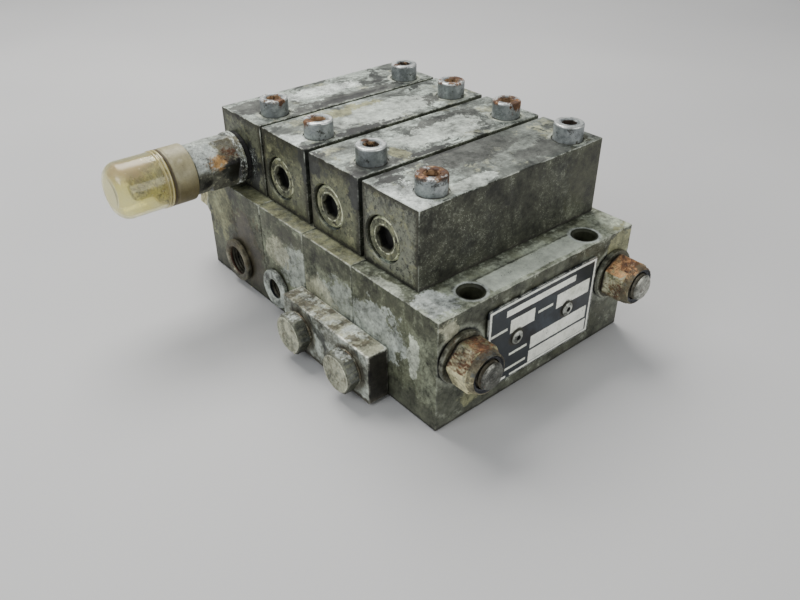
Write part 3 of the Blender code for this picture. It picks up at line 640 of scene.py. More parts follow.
def opening_centre(name):
    for opening in frame["record"]["physics"]["openings"]:
        if opening["name"] == name:
            low, high = opening["box_m"]
            return (Vector(low) + Vector(high)) / 2
    raise KeyError(name)


def mm(*values):
    return Vector(values) * MM


def at_x(x, point):
    """A point moved along X to a new x."""
    return Vector((x, point.y, point.z))


# ---------------------------------------------------------------- zinc-plated blocks

# Patches on the plated faces: (kind, centre, radius, stretch), in millimetres of the row frame.
PATCHES = {
    "valve_block_1": [
        ("soot", (-34, 43.5, 88), 4.5, (0.35, 1.8, 1)),
        ("shade", (-2, 39, 88), 15, (0.6, 1.5, 1)),
        ("soot", (-41, 39, 88), 6.0, (0.75, 2.0, 1)),
        ("soot", (-9, 45.4, 88), 6, (0.45, 2.2, 1)),
        ("shade", (26, 20, 88), 10, (0.5, 1.6, 1)),
        ("chalk", (-47, 23, 89), 9, (0.9, 0.7, 2.2)),
        ("frost", (-20, 16, 89), 7, (0.5, 1.6, 2.2)),
        ("drip", (47, 11.6, 74), 12, (0.8, 1, 0.8)),
    ],
    "valve_block_2": [
        ("straw", (-23, 56, 88), 5, (1.2, 0.8, 1)),
        ("soot", (-10, 49.5, 88), 5, (0.45, 2.0, 1)),
        ("shade", (-38, 53, 88), 8, (0.7, 1.2, 1)),
        ("soot", (-49, 47, 88), 5, (1, 1.0, 1)),
        ("soot", (-50.6, 49, 82), 6, (1, 1.1, 0.7)),
        ("soot", (-50.6, 77, 84), 5, (1, 0.8, 0.8)),
        ("shade", (16, 70, 88), 10, (0.45, 1.6, 1)),
        ("frost", (8, 62, 88.5), 12, (0.5, 1.3, 1.5)),
    ],
    "valve_block_3": [
        ("soot", (-14, 86.5, 88), 7, (0.34, 1.9, 1)),
        ("soot", (-48, 84, 88), 4.5, (0.8, 1.2, 1)),
        ("chalk", (-49, 96, 88), 5, (0.8, 0.8, 1)),
        ("soot", (-50.6, 84, 83), 6, (1, 1.2, 0.7)),
        ("straw", (-8, 108, 88), 8, (0.4, 1.4, 1)),
        ("shade", (22, 96, 88), 9, (0.45, 1.6, 1)),
        ("frost", (4, 98, 88.5), 12, (0.5, 1.2, 1.5)),
    ],
    "valve_block_4": [
        ("shade", (2, 124.0, 88), 9, (0.25, 1.7, 1)),
        ("shade", (-40, 142, 88), 8, (0.8, 1.0, 1)),
        ("soot", (-2, 122.4, 88), 4.5, (0.2, 1.7, 1)),
        ("soot", (28, 133, 88), 2.6, (0.8, 1.2, 1)),
        ("chalk", (-4, 139, 88), 8, (0.35, 1.3, 1)),
        ("soot", (-50.6, 130, 66), 7, (1, 0.9, 0.6)),
    ],
    "base_section_1": [
        ("frost", (-57.8, 29, 30), 15, (1, 0.8, 1.25)),
        ("lime", (-57.8, 6, 29), 6, (1, 1.8, 0.6)),
        ("chalk", (-50, 3, 53.4), 7, (0.8, 0.8, 2.5)),
        ("lime", (-57, 23, 53), 5, (1.3, 0.5, 1.6)),
        ("cream", (-52, -7.6, 47), 4, (1, 1, 0.8)),
        ("straw", (-39, -7.6, 9), 4, (0.7, 1, 1)),
        ("straw", (52, -7.6, 45), 8, (0.8, 1, 1)),
    ],
    "base_section_2": [
        ("frost", (-57.8, 54, 29), 11, (1, 0.8, 1.0)),
        ("cream", (-57.8, 70, 28), 8, (1, 0.7, 1.2)),
    ],
    "base_section_3": [
        ("frost", (-57.8, 88, 31), 11, (1, 0.75, 1.0)),
        ("cream", (-57.8, 101, 34), 7, (1, 0.8, 0.9)),
        ("drip", (-57.8, 92, 46), 6, (1, 0.7, 1.2)),
    ],
    "base_section_4": [
        ("straw", (-57.8, 155, 40), 12, (1, 1, 0.6)),
        ("umber", (-57.8, 130, 24), 15, (1, 1.1, 0.8)),
        ("oil", (-57.8, 131, 31), 9, (1, 1.1, 0.9)),
        # A dark patch in front of and below port 4: oil, with the painted shadow of the port's collar.
        ("oil", (-57.8, 123, 15), 9, (1, 1.3, 0.7)),
    ],
}


def aged_zinc(node, metal, seed, base, pale, dark):
    """Dulled plating: ragged mottling, oxide frost and fine light and dark grain."""
    look = Finish(f"{node}_{metal}", base, 0.52, 0.45, seed)
    look.coat(look.mottle(40, 0.44, 0.60, 10, 0.74), pale, 0.62, 0.3)
    look.coat(look.mottle(85, 0.53, 0.62, 10, distortion=0.5), dark, 0.45, 0.45)
    veil = look.noise(600, 6, 0.8)
    look.coat(look.band(veil, 0.52, 0.70), tuple(1.35 * c for c in pale), 0.72, 0.1)
    look.coat(look.mottle(950, 0.53, 0.70, 5, 0.8), tuple(0.8 * c for c in dark), 0.5, 0.4)
    look.raise_by(veil, 0.07 * MM)
    look.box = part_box(node)
    return look


def add_patches(look, node, *thinned):
    """The node's patches. Those at the height of its top stay on the top."""
    top = look.turned_to(UP, 0.35)
    level = look.box[1].z / MM - 0.5
    mottle = look.mottle(240, 0.32, 0.46, 9, 0.78)
    for kind, centre, radius, stretch in PATCHES[node]:
        area = look.spot(mm(*centre), radius * MM, stretch, scale=150, soft=0.5 * MM)
        look.stain(kind, look.both(area, top) if centre[2] > level else area, mottle, *thinned)


def worn_and_highlit_edges(look, colour, width=0.7 * MM):
    """Worn edges with a painted highlight, bright along the top where the light falls and faint elsewhere."""
    top = look.box[1].z
    upper = look.fade("Z", top, -9, -1)
    share = look.calc("MULTIPLY_ADD", upper, 0.75, 0.2)
    worn = look.mottle(90, 0.42, 0.56, 8, 0.74)
    look.coat((look.box_edges(*look.box, width), worn, share), colour, 0.4, 0.5)


# Colour of each block's left face, and how soiled it is along the top.
BLOCK_SIDES = {
    1: ((0.25, 0.26, 0.22), 0.1),
    2: ((0.17, 0.178, 0.122), 0.7),
    3: ((0.17, 0.178, 0.122), 0.6),
    4: ((0.21, 0.22, 0.17), 0.2),
}


def block_finish(number, node):
    tones = ((0.28, 0.307, 0.30), (0.50, 0.560, 0.555), (0.08, 0.086, 0.085))
    look = aged_zinc(node, "zinc", number * 1.7, *tones)
    low, high = look.box
    top = look.turned_to(UP)
    streaks = look.mottle(75, 0.46, 0.60, 11, stretch=(0.4, 1, 1))
    if number == 1:
        look.coat((top, look.fade("X", 0, -22, -10)), (0.21, 0.228, 0.222), 0.5, 0.4)
    look.coat((top, streaks), (0.115, 0.126, 0.122), 0.46, 0.45)
    look.coat((top, look.mottle(55, 0.53, 0.62, 10, 0.74)), (0.36, 0.365, 0.27), 0.55, 0.3)
    creep = look.mottle(62, 0.545, 0.565, 9, 0.66, distortion=0.9)
    look.coat((top, creep), (0.085, 0.094, 0.092), 0.40, 0.45)
    left = look.turned_to(LEFT)
    tone, soiled = BLOCK_SIDES[number]
    look.coat(left, tone, 0.46, 0.35)
    look.stain("drip", left, look.mottle(90, 0.50, 0.58, 10), 0.8)
    look.stain("straw", left, look.mottle(140, 0.52, 0.60, distortion=0.5), 0.8)
    upper = look.fade("Z", high.z, -9, -2, 3, 90)
    look.stain("drip", left, upper, look.mottle(150, 0.42, 0.54), soiled)
    look.stain("soot", left, look.mottle(420, 0.54, 0.59, 8, 0.8))
    look.stain("soot", left, upper, look.mottle(330, 0.48, 0.55, 8, 0.8), 0.9)
    rim = look.both(left, look.box_edges(low, high, 3.4 * MM))
    look.coat(rim, (0.045, 0.044, 0.032), 0.5, 0.3)
    # Painted shade: the front face, which on blocks 2 to 4 faces into the gap to the next block, is painted
    # dark and a little lighter towards +X, with soot, light specks and dust over it.
    front = look.turned_to(FRONT)
    look.coat(front, (0.045, 0.047, 0.036), 0.52, 0.3)
    paler = look.fade("X", 0, 5, 45)
    look.coat((front, paler), (0.075, 0.080, 0.062), 0.55, 0.25)
    look.stain("soot", front, look.mottle(70, 0.50, 0.64, 10), 0.5)
    drifts = look.mottle(45, 0.40, 0.56, 6, 0.7)
    glitter = look.both(front, look.pits(1500, 0.30), look.mottle(380, 0.46, 0.54, 5, 0.7), drifts)
    look.coat(glitter, (0.30, 0.31, 0.27), 0.6, 0.2)
    dusty = look.both(front, look.mottle(620, 0.53, 0.60, 7, 0.85), drifts)
    look.coat(dusty, (0.155, 0.165, 0.140), 0.65, 0.1)
    for side in SIDES:
        centre = middle(f"cap_screw_{number}_{side}")
        ring = look.ring(centre, "Z", 9.0, 8.0, 0.35)
        look.stain("lime", ring, top, 0.8)
    add_patches(look, node)
    if number == 4:
        # Crumbs of dried sealant beside the cartridge's flange.
        crumbs = look.spot(mm(-50.6, 128, 68), 4 * MM, (1, 1.2, 0.6))
        look.stain("chalk", crumbs, look.mottle(900, 0.56, 0.61, 4, 0.6, distortion=1.5))
    # Painted shade along the foot of the block, where it meets the base.
    foot = look.fade("Z", low.z, 2.2, 0.8, 1.0)
    look.coat(foot, (0.030, 0.029, 0.024), 0.7, 0.1)
    worn_and_highlit_edges(look, (0.55, 0.58, 0.56), 0.5 * MM)
    return grained(look)


def make_blocks():
    bores = {1: "bore_plug_1", 2: "bore_plug_2", 3: "bore_plug_3", 4: "cartridge_body"}
    for number, inside in bores.items():
        node = f"valve_block_{number}"
        low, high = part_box(node)
        block = piece(node, block_shape(low, high, 3 * MM, 0.55 * MM, 0.012 * MM, number * 3.1))
        axis = middle(inside)
        start = at_x(low.x - MM, axis)
        steps = ((11.6, 0), (10, 1.6), (10, 9.4), (6, 9.4), (6, 30))
        tools = [hole(start, RIGHT, *steps)]
        for side in SIDES:
            centre = middle(f"cap_screw_{number}_{side}")
            floor = Vector((centre.x, centre.y, high.z - 0.6 * MM))
            tools.append(hole(floor, UP, (7.1, 0), (7.1, 2)))
            tools.append(hole(floor - 12 * MM * UP, UP, (4.4, 0), (4.4, 14)))
        cut(block, *tools)
        settle(block, block_finish(number, node), "block_zinc", node)


def base_finish(number, node):
    tones = ((0.145, 0.156, 0.112), (0.25, 0.270, 0.210), (0.062, 0.066, 0.046))
    look = aged_zinc(node, "zinc", 10 + number * 2.3, *tones)
    low = look.box[0]
    left = look.turned_to(LEFT)
    drip = look.fade("Z", 0, 41, 43.5, 3.5, 75)
    look.stain("drip", left, drip, look.mottle(200, 0.38, 0.52), 0.8)
    foot = look.fade("Z", 0, 13, 9, 3, 90)
    look.coat((left, foot), (0.095, 0.100, 0.076), 0.55, 0.3)
    if number == 4:
        look.stain("drip", left, look.fade("Z", 0, 46, 24), 0.7)
    # Painted shade: the front face is painted darker; drips and lime lie over it.
    front = look.turned_to(FRONT)
    look.coat(front, (0.105, 0.112, 0.092), 0.52, 0.3)
    look.stain("drip", front, look.mottle(60, 0.46, 0.58, 10), 0.8)
    look.stain("lime", front, look.mottle(150, 0.54, 0.66, 10, 0.78), 0.6)
    top = look.turned_to(UP)
    if number == 1:
        look.coat(top, (0.29, 0.31, 0.245), 0.55, 0.3)
        look.coat((top, look.mottle(70, 0.38, 0.58, 9, 0.7)), (0.53, 0.575, 0.50), 0.62, 0.15)
        block_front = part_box("valve_block_1")[0].y
        patch = look.slab(mm(-27, -5.6, 50), mm(29, 4.4, 56), 0.5 * MM, scale=150)
        look.coat((top, patch), (0.70, 0.75, 0.70), 0.65, 0.1)
        look.calm = look.calc("MULTIPLY", look.both(top, patch), 0.65)
        # Darker along the ledge just in front of block 1's face.
        before_block = look.fade("Y", block_front, -4.5, -1.5, 0.9, 200)
        look.stain("drip", top, before_block, look.mottle(420, 0.38, 0.52, 8, 0.78), 0.7)
        line = look.slab(mm(-36, 4.6, 50), mm(34, 5.4, 56), 0.3 * MM, scale=120)
        look.stain("shade", top, line, look.mottle(200, 0.40, 0.50), 0.7)
        for side in SIDES:
            centre = opening_centre(f"fixing_hole_front_{side}")
            rim = look.ring(centre, "Z", 7.6, 6.6, 0.35)
            look.stain("chalk", top, rim, 0.8)
            # Painted shade inside the mouth of the fixing hole.
            look.coat(look.ring(centre, "Z", 6.3, 5.6), (0.032, 0.035, 0.020), 0.6, 0.2)
            # Round each front washer a pale lime ring, and next to the washer a dark ring painted as shade.
            washer = middle(f"tie_washer_front_{side}")
            out = look.ragged(look.from_axis(washer, "Y"), 0.5 * MM)
            look.stain("lime", front, look.band(out, 15.0 * MM, 12.6 * MM), 0.45)
            look.stain("soot", front, look.band(out, 12.6 * MM, 11.6 * MM))
    else:
        look.coat((top, look.mottle(120, 0.38, 0.56, 10)), (0.24, 0.245, 0.205), 0.6, 0.2)
        strip = look.fade("X", low.x, 9, 6)
        look.stain("straw", top, strip, look.mottle(200, 0.40, 0.54), 0.85)
    add_patches(look, node, 0.95 if number == 1 else 0.75)
    worn_and_highlit_edges(look, (0.44, 0.46, 0.42), 0.7 * MM)
    # Painted shade along the bottom, where the base meets the floor.
    bottom = look.fade("Z", low.z, 2, 0.8, 0.6)
    look.coat(bottom, (0.04, 0.04, 0.036), 0.7, 0.1)
    return grained(look)


def make_base():
    for number in range(1, 5):
        node = f"base_section_{number}"
        low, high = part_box(node)
        shape = block_shape(low, high, 3.5 * MM, 0.45 * MM, 0.010 * MM, number * 5.3)
        section = piece(node, shape)
        tools = []
        for name in (f"fixing_hole_{end}_{side}" for end in ("front", "rear") for side in SIDES):
            centre = opening_centre(name)
            if low.y < centre.y < high.y:
                top = Vector((centre.x, centre.y, high.z + MM))
                steps = ((6.3, 0), (4.5, 1.8), (4.5, 54.8))
                tools.append(hole(top, -UP, *steps))
        if number > 2:
            centre = middle(f"port_seat_{number}")
            mouth = at_x(low.x - MM, centre)
            shank = {3: 7.4, 4: 9.4}[number]
            tools.append(hole(mouth, RIGHT, (shank, 0), (shank, 13), (4.5, 13), (4.5, 35)))
        if tools:
            cut(section, *tools)
        settle(section, base_finish(number, node), "base_zinc", node)


# ---------------------------------------------------------------- screws and plugs

# How rusty the top of each cap screw is, from 0 to 1, and where its worst patch lies round the rim.
SCREW_RUST = {
    (1, "left"): (0.95, RIGHT),
    (1, "right"): (0.0, REAR),
    (2, "left"): (0.25, REAR),
    (2, "right"): (0.75, FRONT),
    (3, "left"): (0.45, LEFT),
    (3, "right"): (0.65, RIGHT),
    (4, "left"): (0.45, FRONT),
    (4, "right"): (0.15, LEFT),
}


def screw_finish(number, side, centre, top):
    def below(first, last):
        """An edge between two depths under the top, in millimetres."""
        return look.fade("Z", top, -first, -last)

    amount, worst = SCREW_RUST[number, side]
    look = Finish(f"cap_screw_{number}_{side}_zinc", (0.25, 0.27, 0.305), 0.40, 0.7, number * 3 + len(side))
    look.coat(look.mottle(110, 0.46, 0.60, 9, 0.74), (0.36, 0.385, 0.425), 0.5, 0.5)
    look.coat(look.mottle(300, 0.57, 0.64, 8), (0.07, 0.072, 0.07), 0.5, 0.5)
    out = look.from_axis(centre, "Z")
    # Painted highlight: a light silver ring on the top of the head, out to its rounded rim.
    rim_highlight = look.both(look.band(out, 4.2 * MM, 4.8 * MM), below(1.0, 0.5))
    look.coat((rim_highlight, look.mottle(300, 0.36, 0.46, 8, 0.7)), (0.76, 0.78, 0.84), 0.33, 0.7)
    foot = look.fade("Z", top, -7.2, -7.7, 0.2)
    look.stain("umber", foot, 0.8)
    if amount:
        spread = look.mottle(210, 0.64 - 0.24 * amount, 0.72 - 0.24 * amount)
        edge = centre + worst * 5 * MM + UP * (top - centre.z)
        near = look.spot(edge, (1.0 + 3.5 * amount) * MM, (1, 1, 0.9), soft=0.5 * MM)
        look.rust(look.either(look.both(below(1.7, 0.4), spread), near), 0.2 + 0.5 * amount)
    # The socket walls are dark brown with rust bloom, and the socket's depths are painted near black as
    # shade.
    within = look.band(out, 3.75 * MM, 3.35 * MM)
    walls = look.both(within, below(0.15, 0.7))
    look.coat(walls, (0.045, 0.030, 0.022), 0.7, 0.1)
    spill = 0.25 * min(1.0, 2 * amount)
    bloom = look.mottle(330, 0.62 - spill, 0.70 - spill, 8)
    look.coat((walls, bloom), (0.40, 0.25, 0.15), 0.85, 0.0)
    look.coat((within, below(2.0, 3.0)), (0.012, 0.010, 0.009), 0.7, 0.1)
    if amount > 0.9:
        ring = look.both(below(3.4, 2.6), look.band(out, 6.0 * MM, 6.3 * MM))
        look.stain("black", ring, look.mottle(300, 0.48, 0.56, 8), 0.8)
        run = look.slab(centre + mm(2.5, -9, 0), centre + mm(9, 3, 40), 0.6 * MM)
        look.rust(look.both(run, look.mottle(260, 0.42, 0.52)), 0.2)
    return grained(look, 0.02 * MM, 0.60, 4.0)


def make_cap_screws():
    for number, side in SCREW_RUST:
        node = f"cap_screw_{number}_{side}"
        low, high, centre = extent(node)
        top = high.z / MM
        outline = in_mm(
            (0, low.z / MM), (3.3, low.z / MM), (4, low.z / MM + 0.7), (4, top - 7.9), (6.2, top - 7.9),
            (6.45, top - 7.6), (6.45, top - 0.8), (6.33, top - 0.35), (6.05, top - 0.08), (5.7, top),
            (0, top),
        )
        place = Matrix.Translation((centre.x, centre.y, 0))
        screw = piece(node, spin(outline), place)
        floor = Vector((centre.x, centre.y, high.z - 4.2 * MM))
        cut_socket(screw, floor, UP, 6 * MM, math.radians(20), (4.6, 0), (2.9, 1.75))
        settle(screw, screw_finish(number, side, centre, high.z), "screw_zinc", node)


def plug_finish(number, centre, face):
    look = Finish(f"bore_plug_{number}_steel", (0.17, 0.18, 0.13), 0.45, 0.5, number * 5.1)
    look.stain("straw", look.mottle(190, 0.46, 0.56), 0.9)
    look.coat(look.mottle(300, 0.51, 0.57, 8, 0.78), (0.035, 0.034, 0.026), 0.4, 0.5)
    out = look.from_axis(centre, "X")
    # Painted highlights: a bright broken ring at the plug's outer edge, and a fainter broken ring further in.
    worn = look.mottle(240, 0.42, 0.54, 8)
    outer = look.both(look.edge(out, 8.4 * MM, 8.7 * MM, 0.08 * MM), worn)
    look.coat(outer, (0.88, 0.90, 0.68), 0.4, 0.4)
    broken = look.mottle(380, 0.47, 0.54, 8, 0.78)
    inner = look.both(look.band(out, 6.5 * MM, 6.25 * MM), look.band(out, 5.75 * MM, 5.95 * MM), broken)
    look.coat(inner, (0.72, 0.74, 0.58), 0.4, 0.4)
    chamfer = look.edge(out, 5.9 * MM, 5.5 * MM, 0.15 * MM)
    look.coat(chamfer, (0.075, 0.076, 0.056), 0.5, 0.4)
    look.stain("straw", chamfer, look.mottle(520, 0.56, 0.62, 8, 0.8), 0.8)
    # Painted shade deep in the socket.
    deep = look.both(look.fade("X", face, 1.2, 2.2), look.band(out, 6.0 * MM, 5.6 * MM))
    look.coat(deep, (0.012, 0.012, 0.012), 0.5, 0.2)
    return grained(look, contrast=6.0)


def make_bore_plugs():
    for number in (1, 2, 3):
        node = f"bore_plug_{number}"
        low, high, centre = extent(node)
        outline = rounded(
            in_mm((0, 0), (8.9, 0), (9.4, 0.6), (9.4, 6.0), (8.7, 7.0), (6.9, 7.0), (6.7, 6.75), (0, 6.75)),
            0.25 * MM,
        )
        plug = revolve(node, outline, at_x(high.x, centre), LEFT)
        floor = at_x(low.x + 4.2 * MM, centre)
        cut_socket(plug, floor, LEFT, 9.2 * MM, math.radians(30), (6.6, 0), (4.8, 2.0))
        settle(plug, plug_finish(number, centre, low.x), "plug_steel", node)


# ---------------------------------------------------------------- relief cartridge


def cartridge_finish(axis):
    def at(along_mm, degrees, radius_mm=11.5):
        """A point on the cartridge: distance from the port face, and angle from the top towards the front."""
        angle = math.radians(degrees)
        offset = UP * math.cos(angle) + FRONT * math.sin(angle)
        return at_x(PORT_FACE + along_mm * MM, axis) + offset * radius_mm * MM

    look = Finish("cartridge_zinc_aged", (0.27, 0.27, 0.245), 0.6, 0.3, 4.2)
    look.coat(look.mottle(130, 0.45, 0.52, 8, 0.72), (0.19, 0.195, 0.195), 0.5, 0.4)
    # Painted highlight: faces turned up and to the front are painted cream and chalk, lighter as if lit,
    # partly chalky dust.
    look.stain("cream", look.turned_to((UP * 0.67 + FRONT * 0.74), 0.72), 0.8)
    neck = look.fade("X", PORT_FACE, -8, -12)
    lit = look.turned_to((UP + FRONT * 0.6).normalized(), 0.62)
    look.stain("chalk", neck, lit, look.mottle(200, 0.34, 0.48))
    look.stain("chalk", look.mottle(210, 0.50, 0.56, 7, 0.75), look.turned_to(UP * 0.67 + FRONT * 0.74, 0.55))
    look.stain("frost", look.turned_to(UP, 0.8), look.mottle(200, 0.40, 0.50, 7, 0.7))
    # Painted shade: faces turned down are painted darker.
    look.stain("shade", look.turned_to(-UP, 0.0), look.mottle(180, 0.34, 0.44, 7, 0.72))
    look.stain("umber", look.spot(at(-3.0, 40), 6 * MM, (0.8, 1, 1), scale=240), 0.8)
    # Painted shade: faces turned to the lower front are painted darker.
    lower = look.turned_to((-UP * 0.45 + FRONT * 0.9).normalized(), 0.80)
    look.coat(lower, (0.13, 0.128, 0.112), 0.55, 0.3)
    look.stain("cream", lower, look.mottle(330, 0.55, 0.62, 8, 0.8), 0.8)
    look.stain("chalk", look.spot(at(-15, 42), 6.5 * MM, (0.9, 1, 1), scale=200), 0.9)
    rusty = look.spot(at(-9.5, 68), 3.2 * MM, (0.7, 1, 1), scale=330)
    look.coat((rusty, look.mottle(300, 0.38, 0.50, 8)), (0.44, 0.25, 0.10), 0.85, 0.0)
    scab = look.spot(at(-2.5, 58), 3.8 * MM, (0.9, 1, 1), scale=380)
    look.rust(look.both(scab, look.mottle(420, 0.44, 0.52, 8, 0.78)), 0.3)
    look.stain("soot", look.spot(at(-2.0, 96), 5.0 * MM, (0.9, 1, 0.8), scale=300))
    look.stain("black", look.spot(at(-0.8, 90), 4.0 * MM, (1, 1, 0.8), scale=300))
    look.stain("black", look.spot(at(-16.0, 112), 2.6 * MM, (1, 1, 1), scale=420))
    flange = look.fade("X", PORT_FACE, 0.6, 1.2)
    look.stain("chalk", flange, look.mottle(480, 0.50, 0.56, 6, 0.8))
    look.stain("umber", flange, look.mottle(330, 0.56, 0.62, 6, 0.8))
    # Painted shade inside the hexagon's bore and on the part within the block.
    inside = look.ring(axis, "X", 7.6, 7.3)
    look.coat(inside, (0.10, 0.09, 0.07), 0.5, 0.5)
    look.raise_by(look.noise(1100, 5, 0.7), 0.09 * MM)
    return grained(look, 0.05 * MM, 0.50)


def make_cartridge_body():
    axis = middle("cartridge_body")
    station = axis_matrix(at_x(PORT_FACE, axis), RIGHT)
    outline = in_mm(
        (4.0, -31), (8, -31), (8, -20.7), (10.9, -20.7), (11.7, -20.0), (11.7, -14.2), (11.0, -13.4),
        (10.5, -12.3), (10.5, 0), (12.1, 1.0), (12.5, 1.4), (12.5, 2.3), (12.1, 2.5), (12.1, 2.9),
        (12.5, 3.1), (12.5, 4.0), (12.1, 4.4), (9.5, 4.4), (9.5, 14.4), (8.9, 15), (5.6, 15), (5.6, 27),
        (4.0, 27),
    )
    body = piece("cartridge_body", spin(outline), station)
    low = at_x(PORT_FACE - 13.3 * MM, axis)
    flats = prism(22 * MM, 14.3 * MM, math.radians(18), 0.25 * MM)
    hexagon = solid("hexagon", flats, axis_matrix(low, RIGHT))
    dome = spin(in_mm((0, 0), (11.4, 0), (12.7, 1.1), (12.7, 13.3), (11.6, 14.3), (0, 14.3)))
    combine(hexagon, ("INTERSECT", solid("dome", dome, axis_matrix(low, RIGHT))))
    bore = hole(low + LEFT * 19 * MM, RIGHT, (6.9, 0), (6.9, 26.3), (4.2, 26.3), (4.2, 61))
    combine(body, ("UNION", hexagon), ("DIFFERENCE", bore))
    corrode(body, 0.25 * MM, 0.08 * MM, 330, 2.0)
    settle(body, cartridge_finish(axis), "cartridge_zinc", "cartridge_body")


def plastic_finish():
    axis = middle("cap_collar")
    look = Finish("collar_plastic_moulded", (0.40, 0.355, 0.225), 0.44, 0.0, 6.0)
    look.coat(look.mottle(90, 0.44, 0.60), (0.47, 0.43, 0.30), 0.5, 0.0)
    # Painted shade: the underside is painted dark brown.
    look.coat(look.turned_to(-UP, -0.1, 0.45), (0.16, 0.130, 0.065), 0.5, 0.0)
    look.coat(look.mottle(380, 0.60, 0.66, 6, 0.75), (0.16, 0.125, 0.09), 0.6, 0.0)
    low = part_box("cap_collar")[0]
    # Painted shade at the end that meets the clear cap.
    joint = look.fade("X", low.x, 1.5, 0.5, 0.25)
    look.coat(joint, (0.09, 0.066, 0.040), 0.6, 0.0)
    # A painted highlight: a small pale glint on the upper front.
    spot = look.spot(axis + UP * 9 * MM + FRONT * 8 * MM, MM)
    look.coat(spot, (0.62, 0.56, 0.45), 0.5, 0.0)
    look.weather(1.8, 160)
    look.raise_by(look.noise(1500, 3, 0.6), 0.02 * MM)
    return look.done()


def make_collar():
    axis = middle("cap_collar")
    outline = rounded(
        in_mm(
            (8.3, -23.0), (8.3, -21.0), (13.1, -21.0), (13.1, -30.4), (12.8, -30.6), (12.8, -31.2),
            (13.1, -31.4), (13.1, -32.4), (11.7, -32.4), (11.7, -23.0),
        ),
        0.5 * MM,
    )
    collar = revolve("cap_collar", outline, at_x(PORT_FACE, axis), RIGHT, 96)
    settle(collar, plastic_finish(), "collar_plastic", "cap_collar")


def clear_finish(axis):
    look = Finish("clear_plastic_yellowed", (0.99, 0.96, 0.62), 0.05, 0.0, 8.0)
    look.coat(look.mottle(70, 0.46, 0.66, 6, 0.65), (0.98, 0.92, 0.48), 0.08, 0.0)
    tint = look.spot(axis + mm(-5, -5, 12), 6 * MM, (0.6, 1, 1), scale=120, soft=3 * MM)
    look.coat(tint, (0.70, 0.58, 0.34), 0.16, 0.0)
    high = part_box("clear_cap")[1]
    rim = look.fade("X", high.x, -3.4, -2.8)
    look.coat(rim, (0.95, 0.86, 0.46), 0.15, 0.0)
    lines = look.waves(look.along("X"), 1.5 * MM)
    cloudy = look.both(rim, look.band(lines, 0.1, 0.8))
    look.coat(look.mottle(420, 0.62, 0.68, 6, 0.75), (0.50, 0.45, 0.30), 0.45, 0.0)
    look.raise_by(look.noise(160, 3, 0.5), 0.06 * MM)
    look.feed(look.shader.inputs["Transmission Weight"], look.mix(cloudy, look.mix(tint, 0.84, 0.62), 0.35))
    look.shader.inputs["IOR"].default_value = 1.46
    return look.done()


def make_cap():
    axis = middle("clear_cap")
    wall, rounding, radius, mouth, end = 1.2, 6.2, 12.9, 32.7, 56.8

    def arc(reach, round_by, stop):
        return [
            (reach - round_by + round_by * math.cos(a), stop - round_by + round_by * math.sin(a))
            for a in (math.radians(90) * step / 14 for step in range(15))
        ]

    inner = [(0, end - wall)] + arc(radius - wall, rounding - wall, end - wall)[::-1]
    rim = [
        (radius - wall, mouth), (13.0, mouth), (13.2, mouth + 0.25), (13.2, mouth + 0.9),
        (12.95, mouth + 1.2), (12.95, mouth + 1.9), (13.2, mouth + 2.2), (13.2, mouth + 2.7),
        (radius, mouth + 3.0),
    ]
    outline = in_mm(*inner, *rim, *arc(radius, rounding, end), (0, end))
    cap = revolve("clear_cap", outline, at_x(PORT_FACE, axis), LEFT, 96)
    settle(cap, clear_finish(axis), "clear_plastic", "clear_cap", body="cap")


def thread(pitch, depth, low, high):
    """A groove for spin(): a V thread between two heights, dying out at both ends."""

    def groove(angle, height):
        fade = min(1.0, max(0.0, min(height - low, high - height) / pitch + 0.5))
        phase = (height / pitch - angle / math.tau) % 1.0
        return depth * fade * abs(2 * phase - 1)

    return groove


def steps_between(low, high, step):
    count = max(2, round((high - low) / step))
    return [low + (high - low) * i / count for i in range(count + 1)]


def rusty_finish(name, seed, base):
    look = Finish(name, base, 0.55, 0.6, seed)
    look.coat(look.mottle(260, 0.50, 0.60, 8, 0.75), (0.20, 0.18, 0.14), 0.5, 0.5)
    look.rust(look.mottle(150, 0.57, 0.63, 8, 0.75), 0.5)
    return grained(look, 0.05 * MM, 0.50)


def make_adjuster():
    node = "adjusting_screw"
    low, high, axis = extent(node)
    body = 37.4 * MM
    outline = [(0, 0), (5.7 * MM, 0), (6.5 * MM, 0.8 * MM)]
    outline += [(6.5 * MM, height) for height in steps_between(MM, body - 0.4 * MM, 0.25 * MM)]
    length = high.x - low.x
    outline += [(6.1 * MM, body), (2.2 * MM, body), (2.2 * MM, length - 0.3 * MM)]
    outline += [(1.9 * MM, length), (0, length)]
    shape = spin(outline, 48, 0, thread(1.5 * MM, 0.7 * MM, 0.6 * MM, body - 0.2 * MM))
    screw = piece(node, shape, axis_matrix(at_x(low.x, axis), RIGHT))
    cut(screw, solid("slot", cuboid(mm(8, 20, 2.4), at_x(low.x - MM, axis))))
    finish = rusty_finish(f"{node}_steel", 3.3, (0.62, 0.60, 0.50))
    settle(screw, finish, "rusty_steel", node, body="adjuster")


def make_lock_nut():
    node = "lock_nut"
    low, high, axis = extent(node)
    base = axis_matrix(at_x(low.x, axis), RIGHT)
    nut = piece(node, prism(19 * MM, high.x - low.x, 0, 0.3 * MM), base)
    dome = spin(in_mm((0, 0), (9.6, 0), (10.97, 0.8), (10.97, 4.2), (9.6, 5), (0, 5)))
    bore = hole(at_x(low.x - MM, axis), RIGHT, (8.2, 0), (6.9, 1.7), (6.9, 5.3), (8.2, 7))
    combine(nut, ("INTERSECT", solid("dome", dome, base)), ("DIFFERENCE", bore))
    settle(nut, rusty_finish(f"{node}_steel", 7.7, (0.60, 0.56, 0.40)), "plug_steel", node, body="lock")


# ---------------------------------------------------------------- port side

# Strips of grime across the top of the link bar: y and half width, in millimetres.
BAR_GRIME = ((33, 4.5), (46, 2.0), (58, 3.0), (69, 6.0), (79, 2.5))


